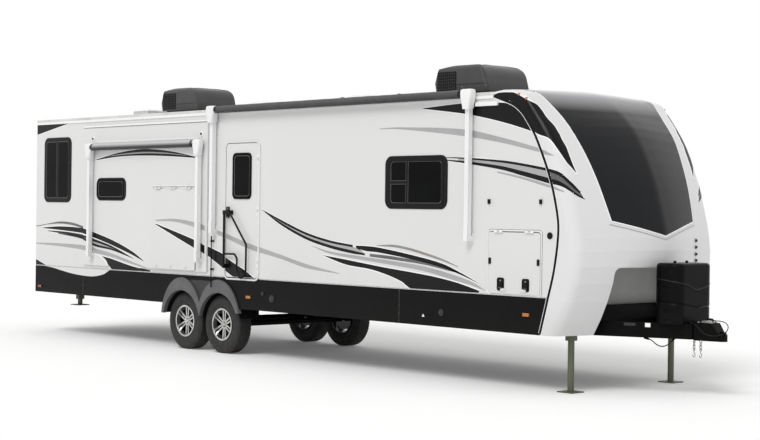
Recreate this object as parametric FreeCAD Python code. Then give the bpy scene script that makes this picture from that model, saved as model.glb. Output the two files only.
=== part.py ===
import FreeCAD, Part
import math
import os
from FreeCAD import Vector as V

# Travel caravan, in millimetres. X points forward along the road, Y to the left, Z up.
# The ground is z = 0 and the origin lies under the middle of the whole trailer.
# The entry door is on the right side, at negative Y.

# Body shell
body_width = 2440
half = body_width / 2
rear_x = -5955
wall_t = 50
skin_gap = 0.3          # running gap at a seat
door_gap = 8            # gap round a door leaf
clear = 5               # least gap between a moving piece and a fixed one
over = 20               # overrun of every cut
skirt_bottom_z = 620
wall_bottom_z = 1030
wall_top_z = 3230
skirt_t = 30
floor_t = 60
floor_inset = 40
roof_edge_h = 40
roof_crown_h = 60
belly_t = 12

# Front cap: seam point, centre point, bow of the front face and corner radius at each section
cap_wall = 40
cap_back = 60
cap_steps = 2
cap_corner_least = 10
cap_bow_power_share = 1.3
cap_sections = [
    # seam x, seam z, front x, front z, bow, corner radius
    (4507, 600, 4930, 600, 250, 150),
    (4611, 982, 5140, 1000, 260, 150),
    (4708, 1348, 5248, 1380, 265, 150),
    (4760, 1663, 5236, 1680, 265, 150),
    (4745, 1900, 5185, 1900, 262, 150),
    (4680, 2180, 5090, 2220, 250, 150),
    (4590, 2420, 4967, 2520, 230, 140),
    (4474, 2650, 4815, 2800, 205, 130),
    (4334, 2887, 4655, 2990, 180, 110),
    (4117, 3104, 4425, 3190, 125, 70),
    (3985, 3172, 4310, 3268, 100, 50),
    (3880, 3205, 4110, 3316, 75, 38),
    (3790, 3230, 3790, 3330, 60, 30),
]
arch_half_y = 700
arch_top_z = 1360
arch_corner_r = 70
bulkhead_x = 4620
bulkhead_t = 20
bulkhead_bottom_z = 930

# Wheels and axles
tyre_r = 387.5
tyre_w = 235
tyre_inset = 40
tyre_face_y = half - tyre_inset
tyre_sides = 40
# half width and height of the tyre from bead to tread
tyre_profile_shares = ((0.80, 0), (0.96, 0.14), (1, 0.45), (0.94, 0.84), (0.74, 1))
rim_r = 208
rim_w = 216
rim_t = 14
axle_rear_x = -2050
axle_gap = 842
axle_front_x = axle_rear_x + axle_gap
axle_tube_r = 38
spindle_r = 22
hub_r = 58
hub_len = 150
drum_r = 150
drum_t = 46
spoke_count = 6
spoke_w = 24
spoke_t = 30
spoke_root_gap = 8      # gap between the two bars of a spoke, at the hub and at the rim
spoke_rim_gap = 30
spoke_root_w_share = 0.8
rim_lip = 9
rim_lip_t = 5
rim_set = 40            # depth of the spokes behind the edge of the rim
hub_cap_r = 40
hub_cap_t = 22
hub_cap_face_share = 0.7

# Chassis
rail_inset = 370
rail_y = half - rail_inset
rail_w = 100
rail_h = 305
rail_web = 12
rail_flange = 14
rail_front_x = 4100
cross_w = 60
cross_h = 90
cross_count = 8
drawbar_h = 160
drawbar_w = 60
drawbar_z = 610
drawbar_aim_x = 5900    # where the middle lines of the legs would come down to drawbar_aim_y
drawbar_aim_y = 42
apron_t = 10
spring_w = 45
spring_t = 24
spring_half = 320
spring_rise = 62
hanger_w = 70
hanger_t = 8

# Coupler
coupler_tip_x = 6050
coupler_len = 330
coupler_nose_r = 62
coupler_rear_w = 260
coupler_z = 600
coupler_h = 190
coupler_nose_h = 86
socket_r = 29.7
socket_depth = 46
latch_len = 70
latch_w = 26
latch_h = 34

# Safety chains
link_pitch = 35
link_wire = 9
link_w = 32
wire_sides = 6
hook_shank = 26
hook_r = 20
hook_open_share = 0.2
eye_r = 14
chain_starts = ((5718, -112, 604), (5800, -108, 604))
chain_links = 2

# Cords: the points of each route were chosen by hand
route_rail_y = 850      # the rail_y that the routes were laid for
tube_run_share = 0.45
charge_cord_r = 6
charge_cord_route = [
    (5262, -328, 599), (5299, -312, 589), (5330, -298, 560), (5363, -283, 532), (5402, -265, 519),
    (5442, -247, 527), (5480, -230, 552), (5511, -216, 590)]
lead_cord_r = 5
lead_cord_route = [
    (5700, -150, 783), (5746, -151, 780), (5796, -163, 752), (5843, -171, 708), (5898, -161, 676),
    (5960, -131, 662), (6017, -88, 668), (6055, -38, 694), (6062, 14, 736), (6032, 46, 781),
    (5982, 44, 808), (5934, 20, 815), (5885, 12, 814.3)]
gland_len = 36
clip_w = 26
plug_r = 24
plug_len = 90

# Landing legs
leg_x = 4665
leg_inset = 340
leg_y = half - leg_inset
leg_tube_r = 36
leg_sleeve = 92
leg_sleeve_bottom_z = 560
foot_w = 210
foot_t = 12
rear_leg_x = -5250
rear_leg_foot_z = 430

# Entry door
door_x0 = -1100
door_x1 = -350
door_z0 = 1000
door_z1 = 2830
door_rim = 30
door_r = 90
leaf_t = 40
proud = 8
trim_t = 15
hinge_r = 7
hinge_pin_r = 4
hinge_off = 14
hinge_seg = 40
hinge_knuckles = 3
hinge_link = 24
entry_hinge_shares = (0.12, 0.5, 0.88)
luggage_hinge_shares = (0.2, 0.8)
hatch_hinge_shares = (0.15, 0.5, 0.85)

# Grab rail folded across the entry door
rail_r = 15
rail_loop_r = 13
rail_bend = 55
rail_off = 52
rail_post_x = -1042
rail_post_z0 = 1180
rail_top_z = 1890
rail_clamp = 56
rail_loop = ((-925, 1890), (-560, 1475), (-562, 1115), (-664, 1001), (-757, 1128), (-752, 1288),
             (-805, 1343), (-1042, 1341))

# Windows: outer frame corners
win_rim = 35
win_r = 70
win_proud = 12
glass_t = 6
rear_win = (-5691, -4993, 2031, 2963)
bed_win = (2102, 3026, 1989, 2555)
slide_win = (-4182, -3470, 2051, 2349)
door_win = (-925, -525, 2067, 2675)
bar_w = 26
bed_win_bar_share = 0.34
rear_win_bar_share = 0.5
back_win = (-450, 450, 2000, 2560)

# Slide-out rooms
slide_x0 = -4557
slide_x1 = -1474
left_slide_x0 = -2450
left_slide_x1 = 1550
slide_z0 = 1080
slide_z1 = 3140
slide_lip = 40
slide_face_t = 20
slide_wall = 40
slide_depth = 700
runner_w = 80
runner_shares = (0.2, 0.8)
left_win_shares = (0.25, 0.75)
left_win_w = 900
left_win_z0 = 1950
left_win_z1 = 2550

# Kitchen hatch on the right slide-out
hatch_x0 = -2740
hatch_x1 = -1718
hatch_z0 = 1092
hatch_z1 = 2207
hatch_t = 18
galley_depth = 430
galley_wall = 18
galley_inset = 40
galley_z0 = 1200
hatch_catch_shares = (0.12, 0.45, 0.8)
hatch_catch_up = 30

# Luggage doors
bag_x0 = 3746
bag_x1 = 4510
bag_z0 = 1037
bag_z1 = 1720
bag_r = 50
catch_w = 24
catch_h = 60
catch_t = 12
catch_z = 1400
paddle_w = 70
paddle_h = 34
paddle_shares = (0.3, 0.7)

# Awnings
arm_w = 60
arm_off = 32
awn_arm_x0 = -1310
awn_arm_x1 = 3467
awn_pivot_z = 1640
awn_roller_z = 3257
awn_roller_r = 45
small_arm_x0 = -4294
small_arm_x1 = -1600
small_pivot_z = 1240
small_roller_z = 2816
small_roller_r = 46
bracket_t = 8
ear_gap = 3
pin_r = 9
roller_off = 42         # from the back of the arms to the roller's middle
head_w = 96
head_d = 100
head_h = 200
head_fillet = 24
foot_h = 130
foot_cheek = 6

# Mouldings along the tops of the side walls
gutter_t = 14
gutter_h = 34
awning_rail_x0 = 3526
awning_rail_x1 = 3860
awning_rail_t = 26
awning_rail_h = 42
awning_rail_z = 3158

# Roof equipment
ac_len = 900
ac_w = 700
ac_h = 385
ac_base_h = 50
ac_shoulder = 80
# shares of the length from the tail and of the height, from the foot of the tail to the foot of the nose
ac_tail_shares = ((0, 0.13), (-0.03, 0.45), (0.03, 0.90), (0.30, 1))
ac_nose_shares = ((0.70, 0.98), (0.86, 0.86), (0.94, 0.60), (1, 0.13))
slat_h = 14
slat_gap = 32
slat_deep = 30
slat_inset = 110
slat_len = 190
slat_count = 6
ac_rear_mid_x = -3380
ac_front_mid_x = 2450
vent_w = 380
vent_h = 90
vent_xs = (-4650, -1750, 350)

# Gas bottle cover
cover_x = 5480
cover_len = 350
cover_w = 640
cover_top_z = 1417
cover_r = 120
cover_top_r = 40
wave_h = 16
wave_deep = 9
wave_shares = ((0.719, 0.626, 0.541, 0.495, 0.561), (0.374, 0.318, 0.280, 0.258, 0.291))
slot_w = 60
slot_h = 10
slot_shares = (0.91, 0.607, 0.215, 0.06)
knob_r = 16
knob_h = 24
knob_ys = (-150, 60)

# Rear end
bumper_h = 95
bumper_z = 640
lamp_w = 110
lamp_h = 300
lamp_t = 18
lamp_z = 1180
lamp_inset = 154
marker_w = 90
marker_h = 36
marker_t = 16
side_markers = ((-567, 786), (4316, 831))
rear_marker_x = -5807
rear_marker_z = 707
ladder_y0 = -760
ladder_y1 = -440
ladder_r = 14
ladder_rung_r = 11
ladder_rungs = 7
ladder_off = 90

# Fenders
fender_drop = 42.5      # from the foot of the wall down to the top of the arches
fender_top_h = wall_bottom_z - fender_drop - tyre_r
fender_band = 175
fender_open_r = fender_top_h - fender_band
fender_side = 45
fender_half_x = fender_open_r + fender_side
fender_proud = 26
fender_low_z = 480
fender_front_low_z = 560

# Small fittings on the right side: place along the body, height and radius
skirt_caps = ((-82, 787, 48), (-270, 843, 25), (3011, 785, 40))
cap_t = 8
round_vent = (4641, 1693, 37)
pad_w = 26
pad_h = 52
pad_t = 22
pad_z = 2055
rod_fitting_x = -1345
rod_fitting_r = 8
rod_fitting_z0 = 885
rod_fitting_z1 = 1570
rod_clip_shares = (0.15, 0.85)
cap_lamps = ((4167, 3226), (4263, 3176))
cap_lamp_r = 14
cap_lamp_t = 12


def save(name, shape):
    shape.exportStep("parts/" + name + ".step")
    print(name, len(shape.Solids), shape.isValid(), round(shape.Volume / 1e6, 2))


def box(x0, x1, y0, y1, z0, z1):
    return Part.makeBox(x1 - x0, y1 - y0, z1 - z0, V(x0, y0, z0))


def rod_x(x0, x1, y, z, r):
    return Part.makeCylinder(r, x1 - x0, V(x0, y, z), V(1, 0, 0))


def rod_y(x, y0, y1, z, r):
    return Part.makeCylinder(r, y1 - y0, V(x, y0, z), V(0, 1, 0))


def rod_z(x, y, z0, z1, r):
    return Part.makeCylinder(r, z1 - z0, V(x, y, z0), V(0, 0, 1))


def other_side(shape):
    return shape.mirror(V(0, 0, 0), V(0, 1, 0))


def joined(shapes):
    whole = shapes[0].multiFuse(shapes[1:]) if len(shapes) > 1 else shapes[0]
    return whole.removeSplitter()


def rounded_plate(x0, x1, z0, z1, r, y0, y1):
    """Upright plate in the XZ plane with rounded corners, from y0 to y1."""
    plate = box(x0, x1, y0, y1, z0, z1)
    edges = [e for e in plate.Edges
             if abs(e.Vertexes[0].Point.y - e.Vertexes[-1].Point.y) > abs(y1 - y0) / 2]
    return plate.makeFillet(r, edges)


def ring_plate(x0, x1, z0, z1, r, rim, y0, y1):
    outer = rounded_plate(x0, x1, z0, z1, r, y0, y1)
    inner = rounded_plate(x0 + rim, x1 - rim, z0 + rim, z1 - rim, r - rim, y0 - over, y1 + over)
    return outer.cut(inner)


def tube(points, r, bend=math.inf):
    """Round tube along straight runs joined by arcs, each as large as its runs allow, up to bend."""
    pts = [V(*p) for p in points]
    edges = []
    radii = []
    last = pts[0]
    for a, b, c in zip(pts, pts[1:], pts[2:]):
        back, on = (a - b).normalize(), (c - b).normalize()
        half_turn = (math.pi - back.getAngle(on)) / 2
        shorter = min((a - b).Length, (c - b).Length)
        radius = min(tube_run_share * shorter / math.tan(half_turn), bend)
        cut = radius * math.tan(half_turn)
        inward = (back + on).normalize()
        middle = b + inward * (radius / math.cos(half_turn) - radius)
        edges.append(Part.LineSegment(last, b + back * cut).toShape())
        edges.append(Part.Arc(b + back * cut, middle, b + on * cut).toShape())
        last = b + on * cut
        radii.append(round(radius))
    edges.append(Part.LineSegment(last, pts[-1]).toShape())
    path = Part.Wire(edges)
    section = Part.Wire([Part.Circle(pts[0], pts[1] - pts[0], r).toShape()])
    shape = path.makePipeShell([section], True, False)
    print("bend radii", radii, "volume share", round(shape.Volume / (math.pi * r * r * path.Length), 4))
    return shape


def polygon_ring(r, y, sides):
    """Corners of a regular polygon about the Y axis, one of them straight down."""
    return [V(r * math.sin(2 * math.pi * i / sides), y, -r * math.cos(2 * math.pi * i / sides))
            for i in range(sides)]


def table_curve(points):
    """Smooth curve through the rows of the section table, one unit of its parameter per row."""
    curve = Part.BSplineCurve()
    curve.interpolate(Points=points, Parameters=[float(i) for i in range(len(points))])
    return curve


seam_curve = table_curve([V(s[0], 0, s[1]) for s in cap_sections])
front_curve = table_curve([V(s[2], 0, s[3]) for s in cap_sections])
bend_curve = table_curve([V(s[4], s[5], row) for row, s in enumerate(cap_sections)])


def ahead_of_seam():
    """Everything ahead of and above the seam between the walls and the front cap."""
    first, last = cap_sections[0], cap_sections[-1]
    top = last[3] + cap_back * 2
    front = max(s[2] for s in cap_sections) + cap_back * 2
    low = first[1] - cap_back
    corners = [V(last[0], 0, last[1]), V(last[0], 0, top), V(front, 0, top),
               V(front, 0, low), V(first[0], 0, low), V(first[0], 0, first[1])]
    wire = Part.Wire([seam_curve.toShape()] + [Part.LineSegment(a, b).toShape()
                                               for a, b in zip(corners, corners[1:])])
    face = Part.Face(wire)
    face.translate(V(0, -half - cap_back, 0))
    return face.extrude(V(0, body_width + cap_back * 2, 0))


def cap_wire(row, inset, back):
    """One section of the cap: a bowed front between rounded corners and straight sides."""
    seam, front, bend = seam_curve.value(row), front_curve.value(row), bend_curve.value(row)
    forward = (front - seam).normalize()
    depth = (front - seam).Length - inset
    side = half - inset
    r = max(bend.y - inset, cap_corner_least)
    power = cap_bow_power_share

    def at(d, y):
        return seam + forward * d + V(0, y, 0)

    def bowed(y):
        return depth - bend.x * (y / half) ** power

    slope = bend.x * power / half * ((side - r) / half) ** (power - 1)
    turn = math.pi / 2 - math.atan(slope)
    edge_y = side - r + r * math.cos(turn)
    centre = bowed(edge_y) - r * math.sin(turn)
    corner = [(centre + r * math.sin(turn * s), side - r + r * math.cos(turn * s))
              for s in (0, 0.5, 1)]
    shares = (1, 0.8, 0.6, 0.4, 0.2, 0.08)
    right = [at(bowed(edge_y * s), -edge_y * s) for s in shares]
    left = [at(bowed(edge_y * s), edge_y * s) for s in reversed(shares)]
    curve = Part.BSplineCurve()
    curve.interpolate(right + [at(depth, 0)] + left)
    edges = []
    for s in (-1, 1):
        start, middle, end = [at(d, s * y) for d, y in corner]
        rear = at(-back, s * side)
        arc = Part.Arc(start, middle, end).toShape()
        edges += [Part.LineSegment(rear, start).toShape(), arc]
    chord = Part.LineSegment(at(-back, side), at(-back, -side)).toShape()
    return Part.Wire([edges[0], edges[1], curve.toShape(), edges[3], edges[2], chord])


def cap_solid(inset, back):
    steps = (len(cap_sections) - 1) * cap_steps
    wires = [cap_wire(i / cap_steps, inset, back) for i in range(steps + 1)]
    return Part.makeLoft(wires, True, True)


ahead = ahead_of_seam()
cap_outer = cap_solid(0, cap_back)
cap_inner = cap_solid(cap_wall, cap_back * 2)


def front_cap():
    shell = cap_outer.cut(cap_inner).common(ahead)
    front = max(s[2] for s in cap_sections) + over
    arch = box(bulkhead_x, front, -arch_half_y, arch_half_y, cap_sections[0][1] - over, arch_top_z)
    edges = [e for e in arch.Edges if abs(e.Vertexes[0].Point.x - e.Vertexes[-1].Point.x) > over
             and e.Vertexes[0].Point.z > arch_top_z - over]
    arch = arch.makeFillet(arch_corner_r, edges)
    low = box(rear_x, front, -body_width, body_width, 0, skirt_bottom_z)
    return shell.cut(arch).cut(low)


def front_lower_panel():
    """Flat panel behind the arch of the cap, with the soffit under the nose."""
    front = max(s[2] for s in cap_sections)
    side = half - wall_t
    upright = box(bulkhead_x, bulkhead_x + bulkhead_t, -side, side, bulkhead_bottom_z, arch_top_z)
    soffit = box(bulkhead_x, front, -side, side, arch_top_z, arch_top_z + bulkhead_t)
    return joined([upright, soffit]).common(cap_inner)


def window_hole(rect, y0, y1):
    x0, x1, z0, z1 = rect
    inset = win_rim - win_proud
    return rounded_plate(x0 + inset, x1 - inset, z0 + inset, z1 - inset, win_r - inset, y0, y1)


def window_frame(rect, face_y, thick):
    """Frame of a window in a wall whose outer face is at face_y on the right side."""
    x0, x1, z0, z1 = rect
    inset = win_rim - win_proud
    flange = rounded_plate(x0, x1, z0, z1, win_r, face_y - win_proud, face_y)
    sleeve = rounded_plate(x0 + inset, x1 - inset, z0 + inset, z1 - inset, win_r - inset,
                           face_y - win_proud, face_y + thick)
    hole = rounded_plate(x0 + win_rim, x1 - win_rim, z0 + win_rim, z1 - win_rim,
                         win_r - win_rim, face_y - win_proud - over, face_y + thick + over)
    return flange.fuse(sleeve).removeSplitter().cut(hole)


def window_bar(rect, face_y, share):
    """Upright bar of a sliding window, in front of the glass."""
    x0, x1, z0, z1 = rect
    x = x0 + (x1 - x0) * share
    return box(x - bar_w / 2, x + bar_w / 2, face_y - win_proud, face_y - glass_t, z0 + win_rim,
               z1 - win_rim)


def vent_bar(rect, face_y, share):
    """Level bar of a vent sash, from the rear side of the frame to the upright bar."""
    x0, x1, z0, z1 = rect
    z = (z0 + z1) / 2
    return box(x0 + win_rim, x0 + (x1 - x0) * share, face_y - win_proud, face_y - glass_t,
               z - bar_w / 2, z + bar_w / 2)


def wall_windows():
    bed = joined([window_frame(bed_win, -half, wall_t), window_bar(bed_win, -half, bed_win_bar_share),
                  vent_bar(bed_win, -half, bed_win_bar_share)])
    rear = joined([window_frame(rear_win, -half, wall_t),
                   window_bar(rear_win, -half, rear_win_bar_share)])
    return [rear, bed]


def window_pane(rect, face_y):
    x0, x1, z0, z1 = rect
    return rounded_plate(x0 + win_rim, x1 - win_rim, z0 + win_rim, z1 - win_rim,
                         win_r - win_rim, face_y - glass_t, face_y)


def side_wall(slide_span, with_door):
    front = cap_sections[3][0] + over
    wall = box(rear_x, front, -half, -half + wall_t, wall_bottom_z, wall_top_z).cut(ahead)
    y0, y1 = -half - over, -half + wall_t + over
    for rect in (rear_win, bed_win):
        wall = wall.cut(window_hole(rect, y0, y1))
    x0, x1 = slide_span
    wall = wall.cut(box(x0 + slide_lip - door_gap, x1 - slide_lip + door_gap, y0, y1,
                        slide_z0 + slide_lip - door_gap, slide_z1 - slide_lip + door_gap))
    wall = wall.cut(rounded_plate(bag_x0 - door_gap, bag_x1 + door_gap, bag_z0 - door_gap / 2,
                                  bag_z1 + door_gap, bag_r, y0, y1))
    if with_door:
        wall = wall.cut(rounded_plate(door_x0 + door_rim - door_gap, door_x1 - door_rim + door_gap,
                                      door_z0 - door_r, door_z1 - door_rim + door_gap,
                                      door_r - door_rim + door_gap, y0, y1))
    return wall


def rear_wall():
    wall = box(rear_x, rear_x + wall_t, -half + wall_t, half - wall_t, wall_bottom_z, wall_top_z)
    hole = window_hole(back_win, -over, wall_t + over)
    return wall.cut(to_rear(hole))


def to_rear(shape):
    """Turn a piece made for a right-side face at y = 0 onto the rear wall."""
    turned = shape.copy()
    turned.rotate(V(0, 0, 0), V(0, 0, 1), -90)
    turned.translate(V(rear_x, 0, 0))
    return turned


def roof():
    top = wall_top_z + roof_edge_h
    a, b, c = V(rear_x, -half, top), V(rear_x, 0, top + roof_crown_h), V(rear_x, half, top)
    wire = Part.Wire([Part.Arc(a, b, c).toShape(),
                      Part.LineSegment(c, V(rear_x, half, wall_top_z)).toShape(),
                      Part.LineSegment(V(rear_x, half, wall_top_z),
                                       V(rear_x, -half, wall_top_z)).toShape(),
                      Part.LineSegment(V(rear_x, -half, wall_top_z), a).toShape()])
    return Part.Face(wire).extrude(V(cap_sections[-1][0] - rear_x, 0, 0))


def floor_deck():
    side = half - floor_inset
    deck = box(rear_x + skirt_t, bulkhead_x, -side, side, wall_bottom_z - floor_t, wall_bottom_z)
    pieces = [deck]
    seat = slide_z0 + slide_lip - skin_gap
    for x0, x1, s in ((slide_x0, slide_x1, -1), (left_slide_x0, left_slide_x1, 1)):
        for share in runner_shares:
            x = x0 + (x1 - x0) * share
            y0, y1 = sorted((s * (half - wall_t - door_gap), s * (half - slide_depth)))
            pieces.append(box(x - runner_w / 2, x + runner_w / 2, y0, y1, wall_bottom_z, seat))
    return joined(pieces)


def fender_outline(y0, y1, top, half_x):
    """Two upright ellipses side by side, one over each hub."""
    shapes = []
    for x in (axle_rear_x, axle_front_x):
        oval = Part.Ellipse(V(x, y0, tyre_r + top), V(x + half_x, y0, tyre_r), V(x, y0, tyre_r))
        shapes.append(Part.Face(Part.Wire([oval.toShape()])).extrude(V(0, y1 - y0, 0)))
    return joined(shapes)


def skirt_side():
    front = cap_sections[2][0]
    plate = box(rear_x, front, -half, -half + skirt_t, skirt_bottom_z, wall_bottom_z).cut(ahead)
    return plate.cut(fender_outline(-half - over, -half + skirt_t + over, fender_top_h,
                                    fender_half_x))


def fender():
    y0, y1 = -half - fender_proud, -half + skirt_t
    body = fender_outline(y0, y1, fender_top_h, fender_half_x)
    for x in (axle_rear_x, axle_front_x):
        body = body.cut(rod_y(x, y0 - over, y1 + over, tyre_r, fender_open_r))
    low = box(axle_rear_x - fender_half_x - over, axle_front_x, y0 - over, y1 + over,
              tyre_r - fender_top_h - over, fender_low_z)
    low_front = box(axle_front_x - over, axle_front_x + fender_half_x + over, y0 - over, y1 + over,
                    tyre_r - fender_top_h - over, fender_front_low_z)
    return body.cut(low).cut(low_front)


def chassis():
    x0, x1 = rear_x + skirt_t, rail_front_x
    top = wall_bottom_z - floor_t
    pieces = []
    for s in (-1, 1):
        y = s * rail_y
        pieces.append(box(x0, x1, y - rail_web / 2, y + rail_web / 2, top - rail_h, top))
        for z in (top - rail_h, top - rail_flange):
            pieces.append(box(x0, x1, y - rail_w / 2, y + rail_w / 2, z, z + rail_flange))
    wheel_zone = (axle_rear_x - tyre_r - over, axle_front_x + tyre_r + over)
    for i in range(cross_count):
        x = x0 + (x1 - x0) * i / (cross_count - 1)
        x = min(max(x, x0 + cross_w / 2), x1 - cross_w / 2)
        reach = half - floor_inset
        if wheel_zone[0] < x < wheel_zone[1]:
            reach = rail_y
        pieces.append(box(x - cross_w / 2, x + cross_w / 2, -reach, reach, top - cross_h, top))
    return joined(pieces)


def underbelly():
    x0, x1 = rear_x + skirt_t, rail_front_x
    side = half - floor_inset
    z = wall_bottom_z - floor_t - rail_h - belly_t
    plate = box(x0, x1, -side, side, z, z + belly_t)
    for s in (-1, 1):
        y0, y1 = sorted((s * (rail_y + rail_w / 2), s * half))
        plate = plate.cut(box(axle_rear_x - fender_half_x, axle_front_x + fender_half_x,
                              y0, y1, z - over, z + belly_t + over))
    return plate


def drawbar_y(x):
    """Distance of a drawbar leg's middle line from the middle of the trailer, at x."""
    share = (drawbar_aim_x - x) / (drawbar_aim_x - rail_front_x)
    return drawbar_aim_y + (rail_y - drawbar_aim_y) * share


def drawbar_member(side):
    """One leg of the drawbar, a deep box section from a main rail to the coupler."""
    a = V(rail_front_x, side * rail_y, drawbar_z)
    b = V(drawbar_aim_x, side * drawbar_aim_y, drawbar_z)
    along = (b - a).normalize()
    across = V(-along.y, along.x, 0) * (drawbar_w / 2)
    start = a - along * drawbar_w
    points = [start + across, b + across, b - across, start - across]
    wire = Part.makePolygon(points + [points[0]])
    leg = Part.Face(wire).extrude(V(0, 0, drawbar_h))
    end_x = coupler_tip_x - coupler_len
    return leg.common(box(rail_front_x, end_x, -half, half, 0, wall_top_z))


def laid_route(route):
    """Route of a cord, each point moved across with the near leg of the drawbar at its x."""
    laid = []
    for x, y, z in route:
        share = max(0, drawbar_aim_x - x) / (drawbar_aim_x - rail_front_x)
        laid.append((x, y + (route_rail_y - rail_y) * share, z))
    return laid


def drawbar():
    pieces = [drawbar_member(-1), drawbar_member(1)]
    for x in (rail_front_x + 2 * drawbar_w, leg_x, cover_x):
        reach = drawbar_y(x)
        pieces.append(box(x - cross_w / 2, x + cross_w / 2, -reach, reach,
                          drawbar_z + drawbar_w / 2, drawbar_z + drawbar_h))
    apron_x = leg_x + leg_sleeve / 2 + skin_gap
    side = arch_half_y - door_gap
    pieces.append(box(apron_x, apron_x + apron_t, -side, side, drawbar_z + drawbar_h,
                      bulkhead_bottom_z))
    clip_x = lead_cord_route[0][0] - 2 * skin_gap
    route_y = laid_route(lead_cord_route)[0][1]
    pieces.append(box(clip_x - clip_w, clip_x, route_y - clip_w / 2, route_y + clip_w / 2,
                      drawbar_z + drawbar_h, drawbar_z + drawbar_h + clip_w))
    legs = Part.makeCompound(pieces[:2])
    loop = laid_route(charge_cord_route)
    for at, after in ((loop[0], loop[1]), (loop[-1], loop[-2])):
        away = (V(*at) - V(*after)).normalize()
        pieces.append(Part.makeCylinder(charge_cord_r * 2, gland_len, V(*at), away).cut(legs))
    return joined(pieces)


def coupler():
    """Coupler with splayed flanks, a low round nose and the socket for the ball."""
    x0 = coupler_tip_x - coupler_len
    ball_x = coupler_tip_x - coupler_nose_r
    z0, z1 = coupler_z, coupler_z + coupler_h
    nose_z = coupler_z + coupler_nose_h
    plan = [V(x0, -coupler_rear_w / 2, z0), V(ball_x, -coupler_nose_r, z0),
            V(ball_x, coupler_nose_r, z0), V(x0, coupler_rear_w / 2, z0)]
    body = Part.Face(Part.makePolygon(plan + [plan[0]])).extrude(V(0, 0, coupler_h))
    body = body.fuse(rod_z(ball_x, 0, z0, z1, coupler_nose_r))
    step_x = ball_x - coupler_nose_r - over
    side = [V(x0, -half, z0), V(coupler_tip_x, -half, z0), V(coupler_tip_x, -half, nose_z - over),
            V(ball_x, -half, nose_z), V(step_x, -half, z1), V(x0, -half, z1)]
    profile = Part.Face(Part.makePolygon(side + [side[0]])).extrude(V(0, body_width, 0))
    body = body.common(profile).removeSplitter()
    return body.cut(rod_z(ball_x, 0, z0 - over, z0 + socket_depth, socket_r))


def coupler_latch():
    """Latch lever on the nose of the coupler, with its two upright cheeks."""
    ball_x = coupler_tip_x - coupler_nose_r
    z0 = coupler_z + coupler_nose_h - over
    x0 = ball_x - latch_len / 4
    lever = box(x0, x0 + latch_len, -latch_w / 2, latch_w / 2, z0, z0 + latch_h)
    cheeks = []
    for s in (-1, 1):
        y0, y1 = sorted((s * latch_w / 2, s * (latch_w / 2 + clear)))
        cheeks.append(box(x0, x0 + latch_len / 2, y0, y1, z0, z0 + latch_h + clear))
    return joined([lever] + cheeks)


def chain_wire(radius):
    """Six-sided section of the chain wire, at radius from the middle of a ring about the Y axis."""
    half_wire = link_wire / 2
    corners = [V(radius + half_wire * math.cos(2 * math.pi * i / wire_sides),
                 half_wire * math.sin(2 * math.pi * i / wire_sides), 0) for i in range(wire_sides)]
    return Part.Face(Part.makePolygon(corners + [corners[0]]))


def wire_ring(radius, degrees):
    """Ring or arc of chain wire that starts at +X and turns down."""
    return chain_wire(radius).revolve(V(0, 0, 0), V(0, 1, 0), degrees)


def chain_link():
    """One link that bears at z = 0: two half rings and two straight wires."""
    r = (link_w - link_wire) / 2
    straight = link_pitch - link_w + 2 * link_wire
    side = chain_wire(r).extrude(V(0, 0, -straight))
    lower = wire_ring(r, 180)
    upper = lower.copy()
    upper.rotate(V(0, 0, 0), V(0, 1, 0), 180)
    lower.translate(V(0, 0, -straight))
    link = joined([upper, lower, side, side.mirror(V(0, 0, 0), V(1, 0, 0))])
    link.translate(V(0, 0, link_wire / 2 - r))
    return link


def chain_hook():
    """Hook that bears at z = 0: an eye, a shank and an open ring."""
    shank = chain_wire(0).extrude(V(0, 0, -hook_shank))
    shank.translate(V(0, 0, -eye_r))
    ring = wire_ring(hook_r, 360 * (1 - hook_open_share))
    ring.rotate(V(0, 0, 0), V(0, 1, 0), -90)
    ring.translate(V(0, 0, -eye_r - hook_shank - hook_r))
    hook = joined([wire_ring(eye_r, 360), shank, ring])
    hook.translate(V(0, 0, link_wire / 2 - eye_r))
    return hook


def safety_chains():
    """Two short chains hanging from eyes under the sides of the coupler, each with its hook."""
    pieces = []
    for x, y, z in chain_starts:
        eye = wire_ring(eye_r, 360)
        eye.translate(V(x, y, z - eye_r + link_wire / 4))
        pieces.append(eye.cut(coupler()).cut(drawbar()))
        bearing = z - 2 * eye_r + link_wire / 4 + link_wire / 2
        for i in range(chain_links + 1):
            piece = chain_link() if i < chain_links else chain_hook()
            if i % 2 == 0:
                piece.rotate(V(0, 0, 0), V(0, 0, 1), 90)
            piece.translate(V(x, y, bearing + skin_gap))
            pieces.append(piece)
            bearing -= link_pitch - skin_gap
    return Part.makeCompound(pieces)


def charge_cord():
    """Breakaway lead, a round cord in a loop under the right leg of the drawbar."""
    return tube(laid_route(charge_cord_route), charge_cord_r)


def lead_cord():
    """Lead to the towing car, stowed round the nose of the coupler."""
    return tube(laid_route(lead_cord_route), lead_cord_r)


def lead_plug():
    """Plug of the lead, laid on the coupler."""
    x, y, z = V(*laid_route(lead_cord_route)[-1]) - V(2 * skin_gap, 0, 0)
    body = rod_x(x - plug_len, x - plug_len / 4, y, z, plug_r)
    neck = Part.makeCone(plug_r, lead_cord_r * 2, plug_len / 4, V(x - plug_len / 4, y, z), V(1, 0, 0))
    return joined([body, neck])


def axles():
    pieces = []
    hub_in = tyre_face_y - tyre_w + drum_t
    for x in (axle_rear_x, axle_front_x):
        tube = rod_y(x, -hub_in + drum_t, hub_in - drum_t, tyre_r, axle_tube_r)
        spindle = rod_y(x, -hub_in - hub_len + drum_t, hub_in + hub_len - drum_t, tyre_r, spindle_r)
        pieces.append(tube.fuse(spindle).removeSplitter())
    return Part.makeCompound(pieces)


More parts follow.
